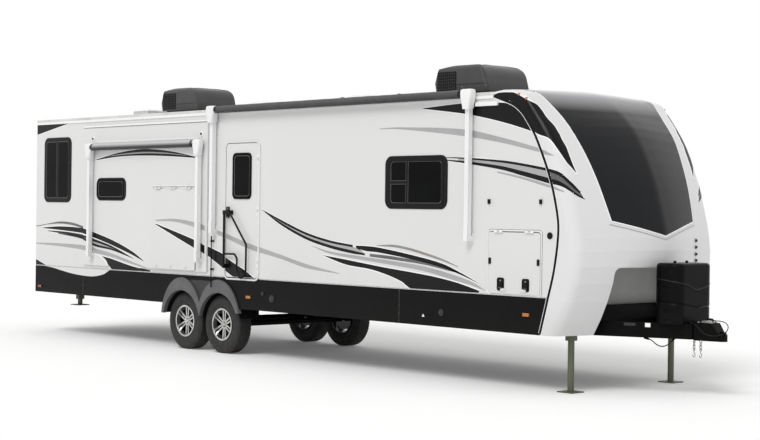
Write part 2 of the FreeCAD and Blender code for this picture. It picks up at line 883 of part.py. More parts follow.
def arc_strip(x0, x1, z_end, z_mid, t, y0, y1):
    xm = (x0 + x1) / 2
    low = Part.Arc(V(x0, y0, z_end), V(xm, y0, z_mid), V(x1, y0, z_end)).toShape()
    high = Part.Arc(V(x1, y0, z_end + t), V(xm, y0, z_mid + t), V(x0, y0, z_end + t)).toShape()
    wire = Part.Wire([low, Part.LineSegment(V(x1, y0, z_end), V(x1, y0, z_end + t)).toShape(),
                      high, Part.LineSegment(V(x0, y0, z_end + t), V(x0, y0, z_end)).toShape()])
    return Part.Face(wire).extrude(V(0, y1 - y0, 0))


def springs():
    """Leaf springs over the axle tubes, their hangers and the rocker between the axles."""
    rail_low = wall_bottom_z - floor_t - rail_h - belly_t
    pieces = []
    for s in (-1, 1):
        group = []
        y0, y1 = s * rail_y - spring_w / 2, s * rail_y + spring_w / 2
        mid_z = tyre_r + axle_tube_r
        end_z = mid_z + spring_rise
        for x in (axle_rear_x, axle_front_x):
            group.append(arc_strip(x - spring_half, x + spring_half, end_z, mid_z, spring_t, y0, y1))
        for x in (axle_rear_x - spring_half, axle_front_x + spring_half,
                  (axle_rear_x + axle_front_x) / 2):
            group.append(box(x - hanger_w / 2, x + hanger_w / 2, y0 - hanger_t, y1 + hanger_t,
                             end_z - spring_t, rail_low))
        rocker = (axle_gap - 2 * spring_half) / 2 + spring_t
        x = (axle_rear_x + axle_front_x) / 2
        group.append(box(x - rocker, x + rocker, y0, y1, end_z, end_z + spring_t * 2))
        pieces.append(joined(group))
    return Part.makeCompound(pieces)


def tyre(x, side):
    """A tyre with square shoulders and flat facets, closed round its bore."""
    mid = side * (tyre_face_y - tyre_w / 2)
    bore = (rim_r + skin_gap) / math.cos(math.pi / tyre_sides)
    right = [(tyre_w / 2 * w, bore + (tyre_r - bore) * h) for w, h in tyre_profile_shares]
    profile = right + [(-a, r) for a, r in reversed(right)]
    rings = [polygon_ring(r, a, tyre_sides) for a, r in profile]
    faces = []
    for one, two in zip(rings, rings[1:] + rings[:1]):
        for i in range(tyre_sides):
            j = (i + 1) % tyre_sides
            corners = [one[i], one[j], two[j], two[i]]
            faces.append(Part.Face(Part.makePolygon(corners + [corners[0]])))
    shape = Part.Solid(Part.Shell(faces))
    if shape.Volume < 0:
        shape.reverse()
    shape.translate(V(x, mid, tyre_r))
    return shape


def spoke_bar(side, face):
    """One bar of a split spoke, from the hub out to the rim, narrower at its root."""
    root, tip = spoke_root_gap / 2, spoke_rim_gap / 2
    reach = rim_r - rim_t / 2
    points = [V(side * root, face, 0), V(side * (root + spoke_w * spoke_root_w_share), face, 0),
              V(side * (tip + spoke_w), face, reach), V(side * tip, face, reach)]
    return Part.Face(Part.makePolygon(points + [points[0]])).extrude(V(0, -spoke_t, 0))


def rim(x, side):
    """Alloy wheel on its hub: barrel with a lip, split spokes and a hub with a cap."""
    face = rim_w / 2
    barrel = rod_y(0, -face, face, 0, rim_r).fuse(rod_y(0, face - rim_lip_t, face, 0, rim_r + rim_lip))
    barrel = barrel.cut(rod_y(0, -face - over, face + over, 0, rim_r - rim_t))
    pieces = [barrel]
    spoke_face = face - rim_set
    for i in range(spoke_count):
        for s in (-1, 1):
            bar = spoke_bar(s, spoke_face)
            bar.rotate(V(0, 0, 0), V(0, 1, 0), 360 / spoke_count * i)
            pieces.append(bar)
    hub_in = tyre_face_y - tyre_w + drum_t
    mid = tyre_face_y - tyre_w / 2
    pieces.append(rod_y(0, hub_in - mid, spoke_face, 0, hub_r))
    pieces.append(rod_y(0, hub_in - mid, hub_in - mid + drum_t, 0, drum_r))
    pieces.append(Part.makeCone(hub_cap_r, hub_cap_r * hub_cap_face_share, hub_cap_t,
                                V(0, spoke_face, 0), V(0, 1, 0)))
    whole = joined(pieces)
    bore = rod_y(0, hub_in - mid - over, hub_in - mid - over + hub_len, 0, spindle_r + skin_gap)
    whole = whole.cut(bore)
    if side < 0:
        whole = other_side(whole)
    whole.translate(V(x, side * mid, tyre_r))
    return whole


def landing_legs():
    """Front legs down on their feet under a cross tube, rear legs drawn up under the rails."""
    pieces = []
    low = wall_bottom_z - floor_t - rail_h - belly_t
    beam_z = drawbar_z + drawbar_h
    front = [box(leg_x - leg_sleeve / 2, leg_x + leg_sleeve / 2, -leg_y, leg_y, beam_z,
                 beam_z + leg_sleeve)]
    for s in (-1, 1):
        y = s * leg_y
        front.append(box(leg_x - leg_sleeve / 2, leg_x + leg_sleeve / 2, y - leg_sleeve / 2,
                         y + leg_sleeve / 2, leg_sleeve_bottom_z, beam_z + leg_sleeve))
        front.append(rod_z(leg_x, y, foot_t / 2, leg_sleeve_bottom_z + foot_t, leg_tube_r))
        front.append(box(leg_x - foot_w / 2, leg_x + foot_w / 2, y - foot_w / 2, y + foot_w / 2,
                         0, foot_t))
    pieces.append(joined(front))
    for s in (-1, 1):
        y = s * rail_y
        x = rear_leg_x
        sleeve = box(x - leg_sleeve / 2, x + leg_sleeve / 2, y - leg_sleeve / 2, y + leg_sleeve / 2,
                     rear_leg_foot_z + leg_sleeve, low)
        tube = rod_z(x, y, rear_leg_foot_z, rear_leg_foot_z + leg_sleeve + foot_t, leg_tube_r)
        foot = box(x - foot_w / 2, x + foot_w / 2, y - foot_w / 2, y + foot_w / 2,
                   rear_leg_foot_z, rear_leg_foot_z + foot_t)
        pieces.append(joined([sleeve, tube, foot]))
    return Part.makeCompound(pieces)


def hinge_parts(length_axis, place, leaf_link, fixed_links):
    """A hinge of three knuckles. The middle one belongs to the leaf, the others and the pin don't."""
    seg = hinge_seg
    knuckle = Part.makeCylinder(hinge_r, seg, place - length_axis * (seg / 2), length_axis)
    pin_len = seg * hinge_knuckles
    foot = place - length_axis * (pin_len / 2)
    bore = Part.makeCylinder(hinge_pin_r + skin_gap, pin_len, foot, length_axis)
    leaf = joined([knuckle, leaf_link]).cut(bore)
    fixed = [Part.makeCylinder(hinge_pin_r, pin_len, foot, length_axis)]
    for s, link in zip((-1, 1), fixed_links):
        start = place + length_axis * (s * (seg / 2 + skin_gap))
        fixed.append(Part.makeCylinder(hinge_r, seg, start, length_axis * s))
        fixed.append(link)
    return leaf, joined(fixed)


def lid_hinge(x, y, z, leaf_y, wall_y):
    """Hinge along X over the top edge of a lid whose outer face is at leaf_y."""
    seg = hinge_seg
    leaf_link = box(x - seg / 2, x + seg / 2, y, leaf_y, z - hinge_r, z)
    links = []
    for s in (-1, 1):
        x0, x1 = sorted((x + s * (seg / 2 + skin_gap), x + s * seg * hinge_knuckles / 2))
        links.append(box(x0, x1, y, wall_y, z + clear, z + hinge_link))
    return hinge_parts(V(1, 0, 0), V(x, y, z), leaf_link, links)


def door_hinge(x, y, z, leaf_y, wall_y):
    """Hinge along Z beside the front edge of a door whose outer face is at leaf_y."""
    seg = hinge_seg
    leaf_link = box(x - hinge_r, x, y, leaf_y, z - seg / 2, z + seg / 2)
    links = []
    for s in (-1, 1):
        z0, z1 = sorted((z + s * (seg / 2 + skin_gap), z + s * seg * hinge_knuckles / 2))
        links.append(box(x + clear, x + hinge_link - clear, y, wall_y, z0, z1))
    return hinge_parts(V(0, 0, 1), V(x, y, z), leaf_link, links)


def entry_hinges():
    y0 = -half - proud
    z0, z1 = door_z0 + door_rim, door_z1 - door_rim
    return [door_hinge(door_x1 - door_rim, y0 - hinge_off, z0 + (z1 - z0) * share, y0,
                       -half - trim_t) for share in entry_hinge_shares]


def luggage_hinges():
    y0 = -half - proud
    return [lid_hinge(bag_x0 + (bag_x1 - bag_x0) * share, y0 - hinge_off, bag_z1, y0, -half)
            for share in luggage_hinge_shares]


def hatch_hinges():
    wall_y = -half - clear - slide_face_t
    y0 = wall_y - clear - hatch_t
    return [lid_hinge(hatch_x0 + (hatch_x1 - hatch_x0) * share, y0 - hinge_off, hatch_z1, y0, wall_y)
            for share in hatch_hinge_shares]


def door_frame():
    ring = ring_plate(door_x0, door_x1, door_z0, door_z1, door_r, door_rim - door_gap,
                      -half - trim_t, -half)
    return ring


def entry_door():
    x0, x1 = door_x0 + door_rim, door_x1 - door_rim
    z0, z1 = door_z0 + door_rim, door_z1 - door_rim
    y0 = -half - proud
    leaf = rounded_plate(x0, x1, z0 + clear, z1, door_r - door_rim, y0, y0 + leaf_t)
    leaf = leaf.cut(window_hole(door_win, y0 - over, y0 + leaf_t + over))
    return joined([leaf] + [h[0] for h in entry_hinges()])


def grab_rail():
    """Hand rail folded across the entry door: an upright post and a bent loop."""
    leaf_y = -half - proud
    y = leaf_y - rail_off
    post = rod_z(rail_post_x, y, rail_post_z0, rail_top_z, rail_r)
    loop = tube([(x, y, z) for x, z in rail_loop], rail_loop_r, rail_bend)
    top = box(rail_post_x - rail_r, rail_loop[0][0] + rail_r, y - rail_r, leaf_y - skin_gap,
              rail_top_z - rail_clamp / 2, rail_top_z + rail_clamp / 2)
    low = box(rail_post_x - rail_r, rail_post_x + rail_r, y - rail_r, leaf_y - skin_gap,
              rail_post_z0 - rail_clamp / 2, rail_post_z0 + rail_clamp / 2)
    return joined([post, loop, top, low])


def luggage_door():
    y0 = -half - proud
    leaf = rounded_plate(bag_x0, bag_x1, bag_z0, bag_z1, bag_r - door_gap, y0, y0 + leaf_t)
    pieces = [leaf] + [h[0] for h in luggage_hinges()]
    for x in (bag_x0 + catch_w, bag_x1 - catch_w):
        pieces.append(box(x - catch_w / 2, x + catch_w / 2, y0 - catch_t, y0, catch_z - catch_h / 2,
                          catch_z + catch_h / 2))
    for share in paddle_shares:
        x = bag_x0 + (bag_x1 - bag_x0) * share
        pieces.append(box(x - paddle_w / 2, x + paddle_w / 2, y0 - catch_t, y0, bag_z0 + paddle_h,
                          bag_z0 + 2 * paddle_h))
    return joined(pieces)


def slide_room(x0, x1, windows, galley):
    """Slide-out room on the right side: face with lips, box open to the cabin."""
    y_face = -half - clear - slide_face_t
    face = box(x0, x1, y_face, y_face + slide_face_t, slide_z0, slide_z1)
    bx0, bx1 = x0 + slide_lip, x1 - slide_lip
    bz0, bz1 = slide_z0 + slide_lip, slide_z1 - slide_lip
    y_in = -half + slide_depth
    shell = box(bx0, bx1, y_face, y_in, bz0, bz1)
    shell = shell.cut(box(bx0 + slide_wall, bx1 - slide_wall, y_face + slide_wall, y_in + over,
                          bz0 + slide_wall, bz1 - slide_wall))
    room = joined([face, shell])
    y0, y1 = y_face - over, y_face + slide_wall + over
    for rect in windows:
        room = room.cut(window_hole(rect, y0, y1))
    if galley:
        gx0, gx1 = hatch_x0 + galley_inset, hatch_x1 - galley_inset
        gz1 = hatch_z1 - galley_inset
        tub = box(gx0 - galley_wall, gx1 + galley_wall, y_face, y_face + galley_depth + galley_wall,
                  galley_z0 - galley_wall, gz1 + galley_wall)
        room = room.fuse(tub).removeSplitter()
        room = room.cut(box(gx0, gx1, y_face - over, y_face + galley_depth, galley_z0, gz1))
    return room


def kitchen_hatch():
    y_face = -half - clear - slide_face_t
    y1 = y_face - clear
    leaf = box(hatch_x0, hatch_x1, y1 - hatch_t, y1, hatch_z0, hatch_z1)
    pieces = [leaf] + [h[0] for h in hatch_hinges()]
    for share in hatch_catch_shares:
        x = hatch_x0 + (hatch_x1 - hatch_x0) * share
        pieces.append(box(x - catch_w, x + catch_w, y1 - hatch_t - catch_t, y1 - hatch_t,
                          hatch_z0 + hatch_catch_up, hatch_z0 + hatch_catch_up + catch_w))
    return joined(pieces)


def arm_bracket(x, base_y, pivot_y, pivot_z):
    """Wall bracket with two ears and the pin that an awning arm turns on."""
    wide = arm_w / 2 + ear_gap + bracket_t
    base = box(x - wide, x + wide, base_y - bracket_t, base_y, pivot_z - arm_w, pivot_z + arm_w)
    pieces = [base]
    for s in (-1, 1):
        x0, x1 = sorted((x + s * (arm_w / 2 + ear_gap), x + s * wide))
        pieces.append(box(x0, x1, pivot_y - pin_r * 2, base_y, pivot_z - arm_w / 2,
                          pivot_z + arm_w / 2))
    pieces.append(rod_x(x - wide, x + wide, pivot_y, pivot_z, pin_r))
    return joined(pieces)


def awning_arms(xs, base_y, pivot_z, roller_z, roller_r):
    """Arms with a cheeked foot on the pivot and a rounded casting round the roller's end."""
    pieces = []
    y0 = base_y - arm_off - arm_w
    y1 = base_y - arm_off
    roller_y = y1 - roller_off
    top = roller_z + roller_r
    for x in xs:
        arm = box(x - arm_w / 2, x + arm_w / 2, y0, y1, pivot_z - arm_w / 2, top - head_h / 2)
        foot = box(x - arm_w / 2, x + arm_w / 2, y0 - foot_cheek, y1, pivot_z - arm_w / 2,
                   pivot_z + foot_h)
        head = box(x - head_w / 2, x + head_w / 2, roller_y - head_d / 2, y1, top - head_h, top)
        edges = [e for e in head.Edges if abs(e.Vertexes[0].Point.y - e.Vertexes[-1].Point.y) < clear
                 and e.Vertexes[0].Point.y < roller_y]
        head = head.makeFillet(head_fillet, edges)
        hole = rod_x(x - arm_w, x + arm_w, (y0 + y1) / 2, pivot_z, pin_r + skin_gap)
        pieces.append(joined([arm, foot, head]).cut(hole))
    return Part.makeCompound(pieces)


def awning_roller(xs, base_y, roller_z, roller_r):
    y = base_y - arm_off - roller_off
    return rod_x(xs[0] + head_w / 2, xs[1] - head_w / 2, y, roller_z, roller_r)


def roof_trims():
    """Gutter mouldings along both walls and the short awning rail ahead of the arm."""
    gutter = box(rear_x, cap_sections[-1][0], -half - gutter_t, -half, wall_top_z - gutter_h,
                 wall_top_z)
    rail = box(awning_rail_x0, awning_rail_x1, -half - awning_rail_t, -half, awning_rail_z - awning_rail_h,
               awning_rail_z)
    return Part.makeCompound([gutter, rail, other_side(gutter)])


def wall_fittings():
    """Round caps on the skirt, a round vent, two door holdbacks and an upright pipe with clips."""
    pieces = []
    for x, z, r in skirt_caps + (round_vent,):
        pieces.append(rod_y(x, -half - cap_t, -half, z, r))
    for x in (bag_x0, bag_x1):
        pieces.append(box(x - pad_w / 2, x + pad_w / 2, -half - pad_t, -half, pad_z - pad_h / 2,
                          pad_z + pad_h / 2))
    y = -half - fender_proud - clear - rod_fitting_r
    pipe = [rod_z(rod_fitting_x, y, rod_fitting_z0, rod_fitting_z1, rod_fitting_r)]
    for share in rod_clip_shares:
        z = wall_bottom_z + (rod_fitting_z1 - wall_bottom_z) * share
        pipe.append(box(rod_fitting_x - pad_w / 2, rod_fitting_x + pad_w / 2, y - rod_fitting_r, -half,
                        z, z + pad_w))
    pieces.append(joined(pipe))
    return Part.makeCompound(pieces)


def air_conditioner(mid_x):
    """Shroud with a blunt louvred tail, rounded shoulders and a long sloped nose."""
    z0 = wall_top_z + roof_edge_h + roof_crown_h
    tail, nose = mid_x - ac_len / 2, mid_x + ac_len / 2
    back = [V(tail + ac_len * a, 0, z0 + ac_h * h) for a, h in ac_tail_shares]
    brow, bulge, drop, foot = [V(tail + ac_len * a, 0, z0 + ac_h * h) for a, h in ac_nose_shares]
    edges = [Part.LineSegment(a, b).toShape() for a, b in zip(back, back[1:] + [brow])]
    edges.append(Part.Arc(brow, bulge, drop).toShape())
    edges.append(Part.LineSegment(drop, foot).toShape())
    edges.append(Part.LineSegment(foot, back[0]).toShape())
    face = Part.Face(Part.Wire(edges))
    face.translate(V(0, -ac_w / 2, 0))
    body = face.extrude(V(0, ac_w, 0))
    across = box(tail - ac_base_h, nose + over, -ac_w / 2, ac_w / 2, z0, z0 + ac_h)
    shoulders = [e for e in across.Edges if e.BoundBox.ZMin > z0 + ac_base_h
                 and e.BoundBox.XLength > ac_base_h]
    body = body.common(across.makeFillet(ac_shoulder, shoulders))
    for i in range(slat_count):
        z = z0 + ac_base_h + slat_gap * (i + 1)
        body = body.cut(box(tail - ac_base_h, tail + slat_deep, -ac_w / 2 + slat_inset,
                            ac_w / 2 - slat_inset, z, z + slat_h))
        for s in (-1, 1):
            y0, y1 = sorted((s * (ac_w / 2 - slat_deep), s * (ac_w / 2 + over)))
            body = body.cut(box(tail + 2 * slat_deep, tail + 2 * slat_deep + slat_len, y0, y1, z,
                                z + slat_h))
    base = box(tail + ac_base_h, nose - ac_base_h, -ac_w / 2 + ac_base_h, ac_w / 2 - ac_base_h,
               z0 - roof_crown_h / 2, z0 + ac_h * ac_tail_shares[0][1])
    return joined([body, base]).cut(roof())


def roof_vents():
    pieces = []
    for x in vent_xs:
        z0 = wall_top_z + roof_edge_h
        lid = box(x - vent_w / 2, x + vent_w / 2, -vent_w / 2, vent_w / 2, z0,
                  z0 + roof_crown_h + vent_h)
        pieces.append(lid.cut(roof()))
    return Part.makeCompound(pieces)


def cover_block(inset):
    """Rounded block of the bottle cover, smaller by inset on its sides."""
    z0 = drawbar_z + drawbar_h
    side = cover_w / 2 - inset
    x0, x1 = cover_x - cover_len / 2 + inset, cover_x + cover_len / 2 - inset
    block = box(x0, x1, -side, side, z0, cover_top_z)
    edges = [e for e in block.Edges if e.BoundBox.ZLength > cover_r]
    return block.makeFillet(cover_r - inset, edges)


def wave_prism(shares):
    """Slab that rises and falls across the cover, through the named shares of its height."""
    z0 = drawbar_z + drawbar_h
    side = cover_w / 2 + over
    x0 = cover_x - cover_len / 2 - over
    crest = [V(x0, -side + 2 * side * i / (len(shares) - 1), z0 + (cover_top_z - z0) * share)
             for i, share in enumerate(shares)]
    low = Part.BSplineCurve()
    low.interpolate([p - V(0, 0, wave_h / 2) for p in crest])
    high = Part.BSplineCurve()
    high.interpolate([p + V(0, 0, wave_h / 2) for p in crest])
    up = V(0, 0, wave_h)
    ends = [Part.LineSegment(p - up / 2, p + up / 2).toShape() for p in (crest[0], crest[-1])]
    face = Part.Face(Part.Wire(Part.__sortEdges__([low.toShape(), ends[1], high.toShape(), ends[0]])))
    return face.extrude(V(cover_len + 2 * over, 0, 0))


def bottle_cover():
    z0 = drawbar_z + drawbar_h
    height = cover_top_z - z0
    block = cover_block(0)
    skin = block.cut(cover_block(wave_deep))
    top = [e for e in block.Edges if e.BoundBox.ZMin > cover_top_z - wave_h]
    block = block.makeFillet(cover_top_r, top)
    for shares in wave_shares:
        block = block.cut(wave_prism(shares).common(skin))
    x1 = cover_x + cover_len / 2 - cover_r
    for share in slot_shares:
        z = z0 + height * share
        block = block.cut(box(x1 - slot_w, x1, -cover_w / 2 - over, -cover_w / 2 + wave_deep,
                              z - slot_h / 2, z + slot_h / 2))
    knobs = [rod_z(cover_x, y, cover_top_z - wave_h, cover_top_z + knob_h, knob_r) for y in knob_ys]
    return joined([block] + knobs)


def rear_skirt():
    return box(rear_x, rear_x + skirt_t, -half + skirt_t, half - skirt_t, skirt_bottom_z,
               wall_bottom_z)


def bumper():
    return box(rear_x - bumper_h, rear_x, -half + bumper_h, half - bumper_h, bumper_z,
               bumper_z + bumper_h)


def ladder():
    x = rear_x - ladder_off + ladder_r
    top = wall_top_z + roof_edge_h
    pieces = []
    for y in (ladder_y0, ladder_y1):
        pieces.append(rod_z(x, y, wall_bottom_z, top, ladder_r))
        for z in (wall_bottom_z + ladder_off, top - ladder_off):
            pieces.append(rod_x(x, rear_x, y, z, ladder_rung_r))
    for i in range(ladder_rungs):
        z = wall_bottom_z + (top - wall_bottom_z) * (i + 0.5) / ladder_rungs
        pieces.append(rod_y(x, ladder_y0, ladder_y1, z, ladder_rung_r))
    return joined(pieces)


def tail_lamps():
    pieces = []
    side = box(rear_marker_x - marker_w / 2, rear_marker_x + marker_w / 2, -half - marker_t, -half,
               rear_marker_z - marker_h / 2, rear_marker_z + marker_h / 2)
    pieces += [side, other_side(side)]
    for i in range(-1, 2):
        y = i * marker_w * 2
        pieces.append(box(rear_x - marker_t, rear_x, y - marker_w / 2, y + marker_w / 2,
                          wall_top_z - marker_h * 2, wall_top_z - marker_h))
    for s in (-1, 1):
        y = s * (half - lamp_inset)
        pieces.append(box(rear_x - lamp_t, rear_x, y - lamp_w / 2, y + lamp_w / 2, lamp_z,
                          lamp_z + lamp_h))
    return Part.makeCompound(pieces)


def marker_lamps():
    """Amber side markers on the skirts and on the shoulders of the cap."""
    pieces = []
    for x, z in cap_lamps:
        across = Part.LineSegment(V(x, -half - over, z), V(x, 0, z)).toShape()
        y = cap_outer.common(across).BoundBox.YMin
        lamp = rod_y(x, y - cap_lamp_t, y + cap_lamp_t * 2, z, cap_lamp_r).cut(cap_outer)
        pieces += [lamp, other_side(lamp)]
    for x, z in side_markers:
        lamp = box(x - marker_w / 2, x + marker_w / 2, -half - marker_t, -half,
                   z - marker_h / 2, z + marker_h / 2)
        pieces += [lamp, other_side(lamp)]
    return Part.makeCompound(pieces)


def main():
    os.makedirs("parts", exist_ok=True)
    right_span = (slide_x0, slide_x1)
    left_span = (left_slide_x0, left_slide_x1)
    slide_y = -half - clear - slide_face_t

    save("front_cap", front_cap())
    save("front_lower_panel", front_lower_panel())
    save("side_wall_right", side_wall(right_span, True))
    save("side_wall_left", other_side(side_wall(left_span, False)))
    save("rear_wall", rear_wall())
    save("roof", roof())
    save("floor_deck", floor_deck())
    save("underbelly", underbelly())
    save("skirt_right", skirt_side())
    save("skirt_left", other_side(skirt_side()))
    save("skirt_rear", rear_skirt())
    save("fenders", Part.makeCompound([fender(), other_side(fender())]))
    frames = wall_windows()
    panes = [window_pane(r, -half) for r in (rear_win, bed_win)]
    frames += [other_side(f) for f in frames] + [to_rear(window_frame(back_win, 0, wall_t))]
    panes += [other_side(p) for p in panes] + [to_rear(window_pane(back_win, 0))]
    save("window_frames", Part.makeCompound(frames))
    save("window_glass", Part.makeCompound(panes))
    save("door_frame", door_frame())
    save("chassis", chassis())
    save("drawbar", drawbar())
    save("coupler", joined([coupler(), coupler_latch()]))
    save("safety_chains", safety_chains())
    save("charge_cord", charge_cord())
    save("lead_cord", lead_cord())
    save("lead_plug", lead_plug())
    save("axles", axles())
    save("leaf_springs", springs())
    save("landing_legs", landing_legs())
    for name, x in (("rear", axle_rear_x), ("front", axle_front_x)):
        for hand, s in (("right", -1), ("left", 1)):
            save("tyre_" + name + "_" + hand, tyre(x, s))
            save("wheel_" + name + "_" + hand, rim(x, s))
    save("entry_door", entry_door())
    save("door_window", window_frame(door_win, -half - proud, leaf_t).fuse(
        window_pane(door_win, -half - proud)).removeSplitter())
    save("grab_rail", grab_rail())
    save("luggage_door_right", luggage_door())
    save("luggage_door_left", other_side(luggage_door()))
    left_wins = []
    for share in left_win_shares:
        x = left_slide_x0 + (left_slide_x1 - left_slide_x0) * share
        left_wins.append((x - left_win_w / 2, x + left_win_w / 2, left_win_z0, left_win_z1))
    brackets = [arm_bracket(x, slide_y, slide_y - arm_off - arm_w / 2, small_pivot_z)
                for x in (small_arm_x0, small_arm_x1)]
    room = slide_room(slide_x0, slide_x1, [slide_win], True)
    save("slide_room_right", joined([room] + brackets + [h[1] for h in hatch_hinges()]))
    save("slide_windows_right", window_frame(slide_win, slide_y, slide_wall).fuse(
        window_pane(slide_win, slide_y)).removeSplitter())
    save("slide_room_left", other_side(slide_room(left_slide_x0, left_slide_x1, left_wins, False)))
    panes = [window_frame(r, slide_y, slide_wall).fuse(window_pane(r, slide_y)).removeSplitter()
             for r in left_wins]
    save("slide_windows_left", other_side(Part.makeCompound(panes)))
    save("kitchen_hatch", kitchen_hatch())
    save("awning_brackets", Part.makeCompound([
        arm_bracket(x, -half, -half - arm_off - arm_w / 2, awn_pivot_z)
        for x in (awn_arm_x0, awn_arm_x1)]))
    save("awning_arms", awning_arms((awn_arm_x0, awn_arm_x1), -half, awn_pivot_z, awn_roller_z,
                                    awn_roller_r))
    save("awning_roller", awning_roller((awn_arm_x0, awn_arm_x1), -half, awn_roller_z,
                                        awn_roller_r))
    save("small_awning_arms", awning_arms((small_arm_x0, small_arm_x1), slide_y, small_pivot_z,
                                          small_roller_z, small_roller_r))
    save("small_awning_roller", awning_roller((small_arm_x0, small_arm_x1), slide_y,
                                              small_roller_z, small_roller_r))
    save("air_conditioner_rear", air_conditioner(ac_rear_mid_x))
    save("air_conditioner_front", air_conditioner(ac_front_mid_x))
    save("roof_vents", roof_vents())
    save("roof_trims", roof_trims())
    save("wall_fittings", wall_fittings())
    save("gas_bottle_cover", bottle_cover())
    save("rear_bumper", bumper())
    save("rear_ladder", ladder())
    save("tail_lamps", tail_lamps())
    save("marker_lamps", marker_lamps())
    lids = [h[1] for h in luggage_hinges()]
    save("door_hinges", Part.makeCompound([h[1] for h in entry_hinges()] + lids
                                          + [other_side(h) for h in lids]))


main()
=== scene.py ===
import bpy, bmesh, math
from mathutils import Vector, Matrix
from mathutils.bvhtree import BVHTree


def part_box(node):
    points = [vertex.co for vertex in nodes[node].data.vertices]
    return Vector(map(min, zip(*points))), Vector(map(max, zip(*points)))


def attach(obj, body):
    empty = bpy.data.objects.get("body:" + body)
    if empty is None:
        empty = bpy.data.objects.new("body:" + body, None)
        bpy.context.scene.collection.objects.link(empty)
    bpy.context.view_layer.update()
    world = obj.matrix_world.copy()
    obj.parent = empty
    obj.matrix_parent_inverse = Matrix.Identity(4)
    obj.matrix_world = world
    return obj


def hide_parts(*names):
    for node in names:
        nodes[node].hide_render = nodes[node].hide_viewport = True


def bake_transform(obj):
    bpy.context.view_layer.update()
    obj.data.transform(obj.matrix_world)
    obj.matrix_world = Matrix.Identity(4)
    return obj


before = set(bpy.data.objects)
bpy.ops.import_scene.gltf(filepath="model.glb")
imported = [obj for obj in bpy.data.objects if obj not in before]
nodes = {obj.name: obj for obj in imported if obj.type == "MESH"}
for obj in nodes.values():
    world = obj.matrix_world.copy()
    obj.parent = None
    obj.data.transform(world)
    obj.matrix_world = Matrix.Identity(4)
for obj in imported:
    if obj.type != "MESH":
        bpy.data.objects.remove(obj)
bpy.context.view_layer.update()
scene = bpy.context.scene
sides = {"right": -1, "left": 1}
wheels = ("rear_right", "rear_left", "front_right", "front_left")
print("frame loaded")


# nodes: one helper for the material, world and geometry trees

def nodeMaker(tree):
    # makes a node with its settings and fills its inputs with sockets or plain values
    def made(kind, inputs=None, output=0, **settings):
        node = tree.nodes.new(kind)
        for key, value in settings.items():
            setattr(node, key, value)
        for key, value in (inputs or {}).items():
            if isinstance(value, bpy.types.NodeSocket):
                tree.links.new(value, node.inputs[key])
            else:
                node.inputs[key].default_value = value
        return node.outputs[output]

    def worked(operation, *values):
        return made("ShaderNodeMath", dict(enumerate(values)), operation=operation)

    return made, worked


# finishes: one dictionary entry each, a colour is one sRGB share for a grey or three of them

def linear(color):
    shares = color if isinstance(color, tuple) else (color, color, color)
    return tuple(v / 12.92 if v <= 0.04045 else ((v + 0.055) / 1.055) ** 2.4 for v in shares) + (1,)


def makeFinish(name, look):
    mat = bpy.data.materials.new(name)
    mat.use_nodes = True
    tree = mat.node_tree
    made, worked = nodeMaker(tree)
    shader = tree.nodes["Principled BSDF"]
    shares = {"Metallic": look.get("metal", 0), "Coat Weight": look.get("coat", 0), "Coat Roughness": 0.05,
              "Specular IOR Level": look.get("shine", 0.5), "Sheen Weight": look.get("sheen", 0)}
    for key, value in shares.items():
        shader.inputs[key].default_value = value
    place = made("ShaderNodeTexCoord", output="Object")
    axis = made("ShaderNodeSeparateXYZ", {"Vector": place}).node.outputs

    def noise(detail, scale, stretch=(1, 1, 1)):
        spread = made("ShaderNodeMapping", {"Vector": place, "Scale": stretch})
        return made("ShaderNodeTexNoise", {"Vector": spread, "Scale": scale, "Detail": detail})

    def ranged(value, fromLow, fromHigh, toLow, toHigh):
        return made("ShaderNodeMapRange", {"Value": value, "From Min": fromLow, "From Max": fromHigh,
                                           "To Min": toLow, "To Max": toHigh})

    def mixed(factor, a, b):
        return made("ShaderNodeMix", {"Factor": factor, "A": a, "B": b}, "Result", data_type="RGBA")

    patches = ranged(noise(4, *look["mottle"]), 0.35, 0.7, 0, 1)
    color = mixed(patches, linear(look["color"]), linear(look["other"]))
    if "deep" in look:  # painted shade in the hollows of a wheel: a darker tone by distance from the middle plane
        low, high, dark = look["deep"]
        color = mixed(ranged(worked("ABSOLUTE", axis["Y"]), low, high, 1, 0), color, linear(dark))
    if "streaks" in look:  # faint runs of rain water
        amount, tone = look["streaks"]
        color = mixed(ranged(noise(4, 5, (1, 1, 0.06)), 0.52, 0.8, 0, amount), color, linear(tone))
    for key, below, above in (("under", 1, 0), ("over", 0, 1)):  # painted shade below a height (under) or a painted sky reflection above one (over), mixed in as another tone
        if key in look:
            low, high, tone = look[key]
            color = mixed(ranged(axis["Z"], low, high, below, above), color, linear(tone))
    if "grime" in look:
        low, high, amount = look["grime"]
        patch = ranged(noise(5, 3, (1, 1, 0.25)), 0.3, 0.75, 0.15, 1)
        dirt = worked("MULTIPLY", ranged(axis["Z"], low, high, amount, 0), patch)
        color = mixed(dirt, color, linear(look.get("dirt", (0.5, 0.47, 0.42))))
    tree.links.new(color, shader.inputs["Base Color"])
    low, high, roughScale = look.get("roughRange", (look["rough"] * 0.85, look["rough"] * 1.15, 14))
    tree.links.new(ranged(noise(5, roughScale), 0.3, 0.7, low, high), shader.inputs["Roughness"])
    height = None
    if "bump" in look:
        bumpScale, strength, *stretch = look["bump"]
        height = noise(3, bumpScale, *stretch)
    if "weave" in look:  # threads along two of the axes
        pitch, strength, axes = look["weave"]
        waves = [worked("MULTIPLY", axis[a], 2 * math.pi / pitch) for a in axes]
        height = worked("MAXIMUM", *[worked("SINE", wave) for wave in waves])
    if height is not None:
        bump = made("ShaderNodeBump", {"Strength": strength, "Distance": 0.002, "Height": height})
        tree.links.new(bump, shader.inputs["Normal"])
    return mat


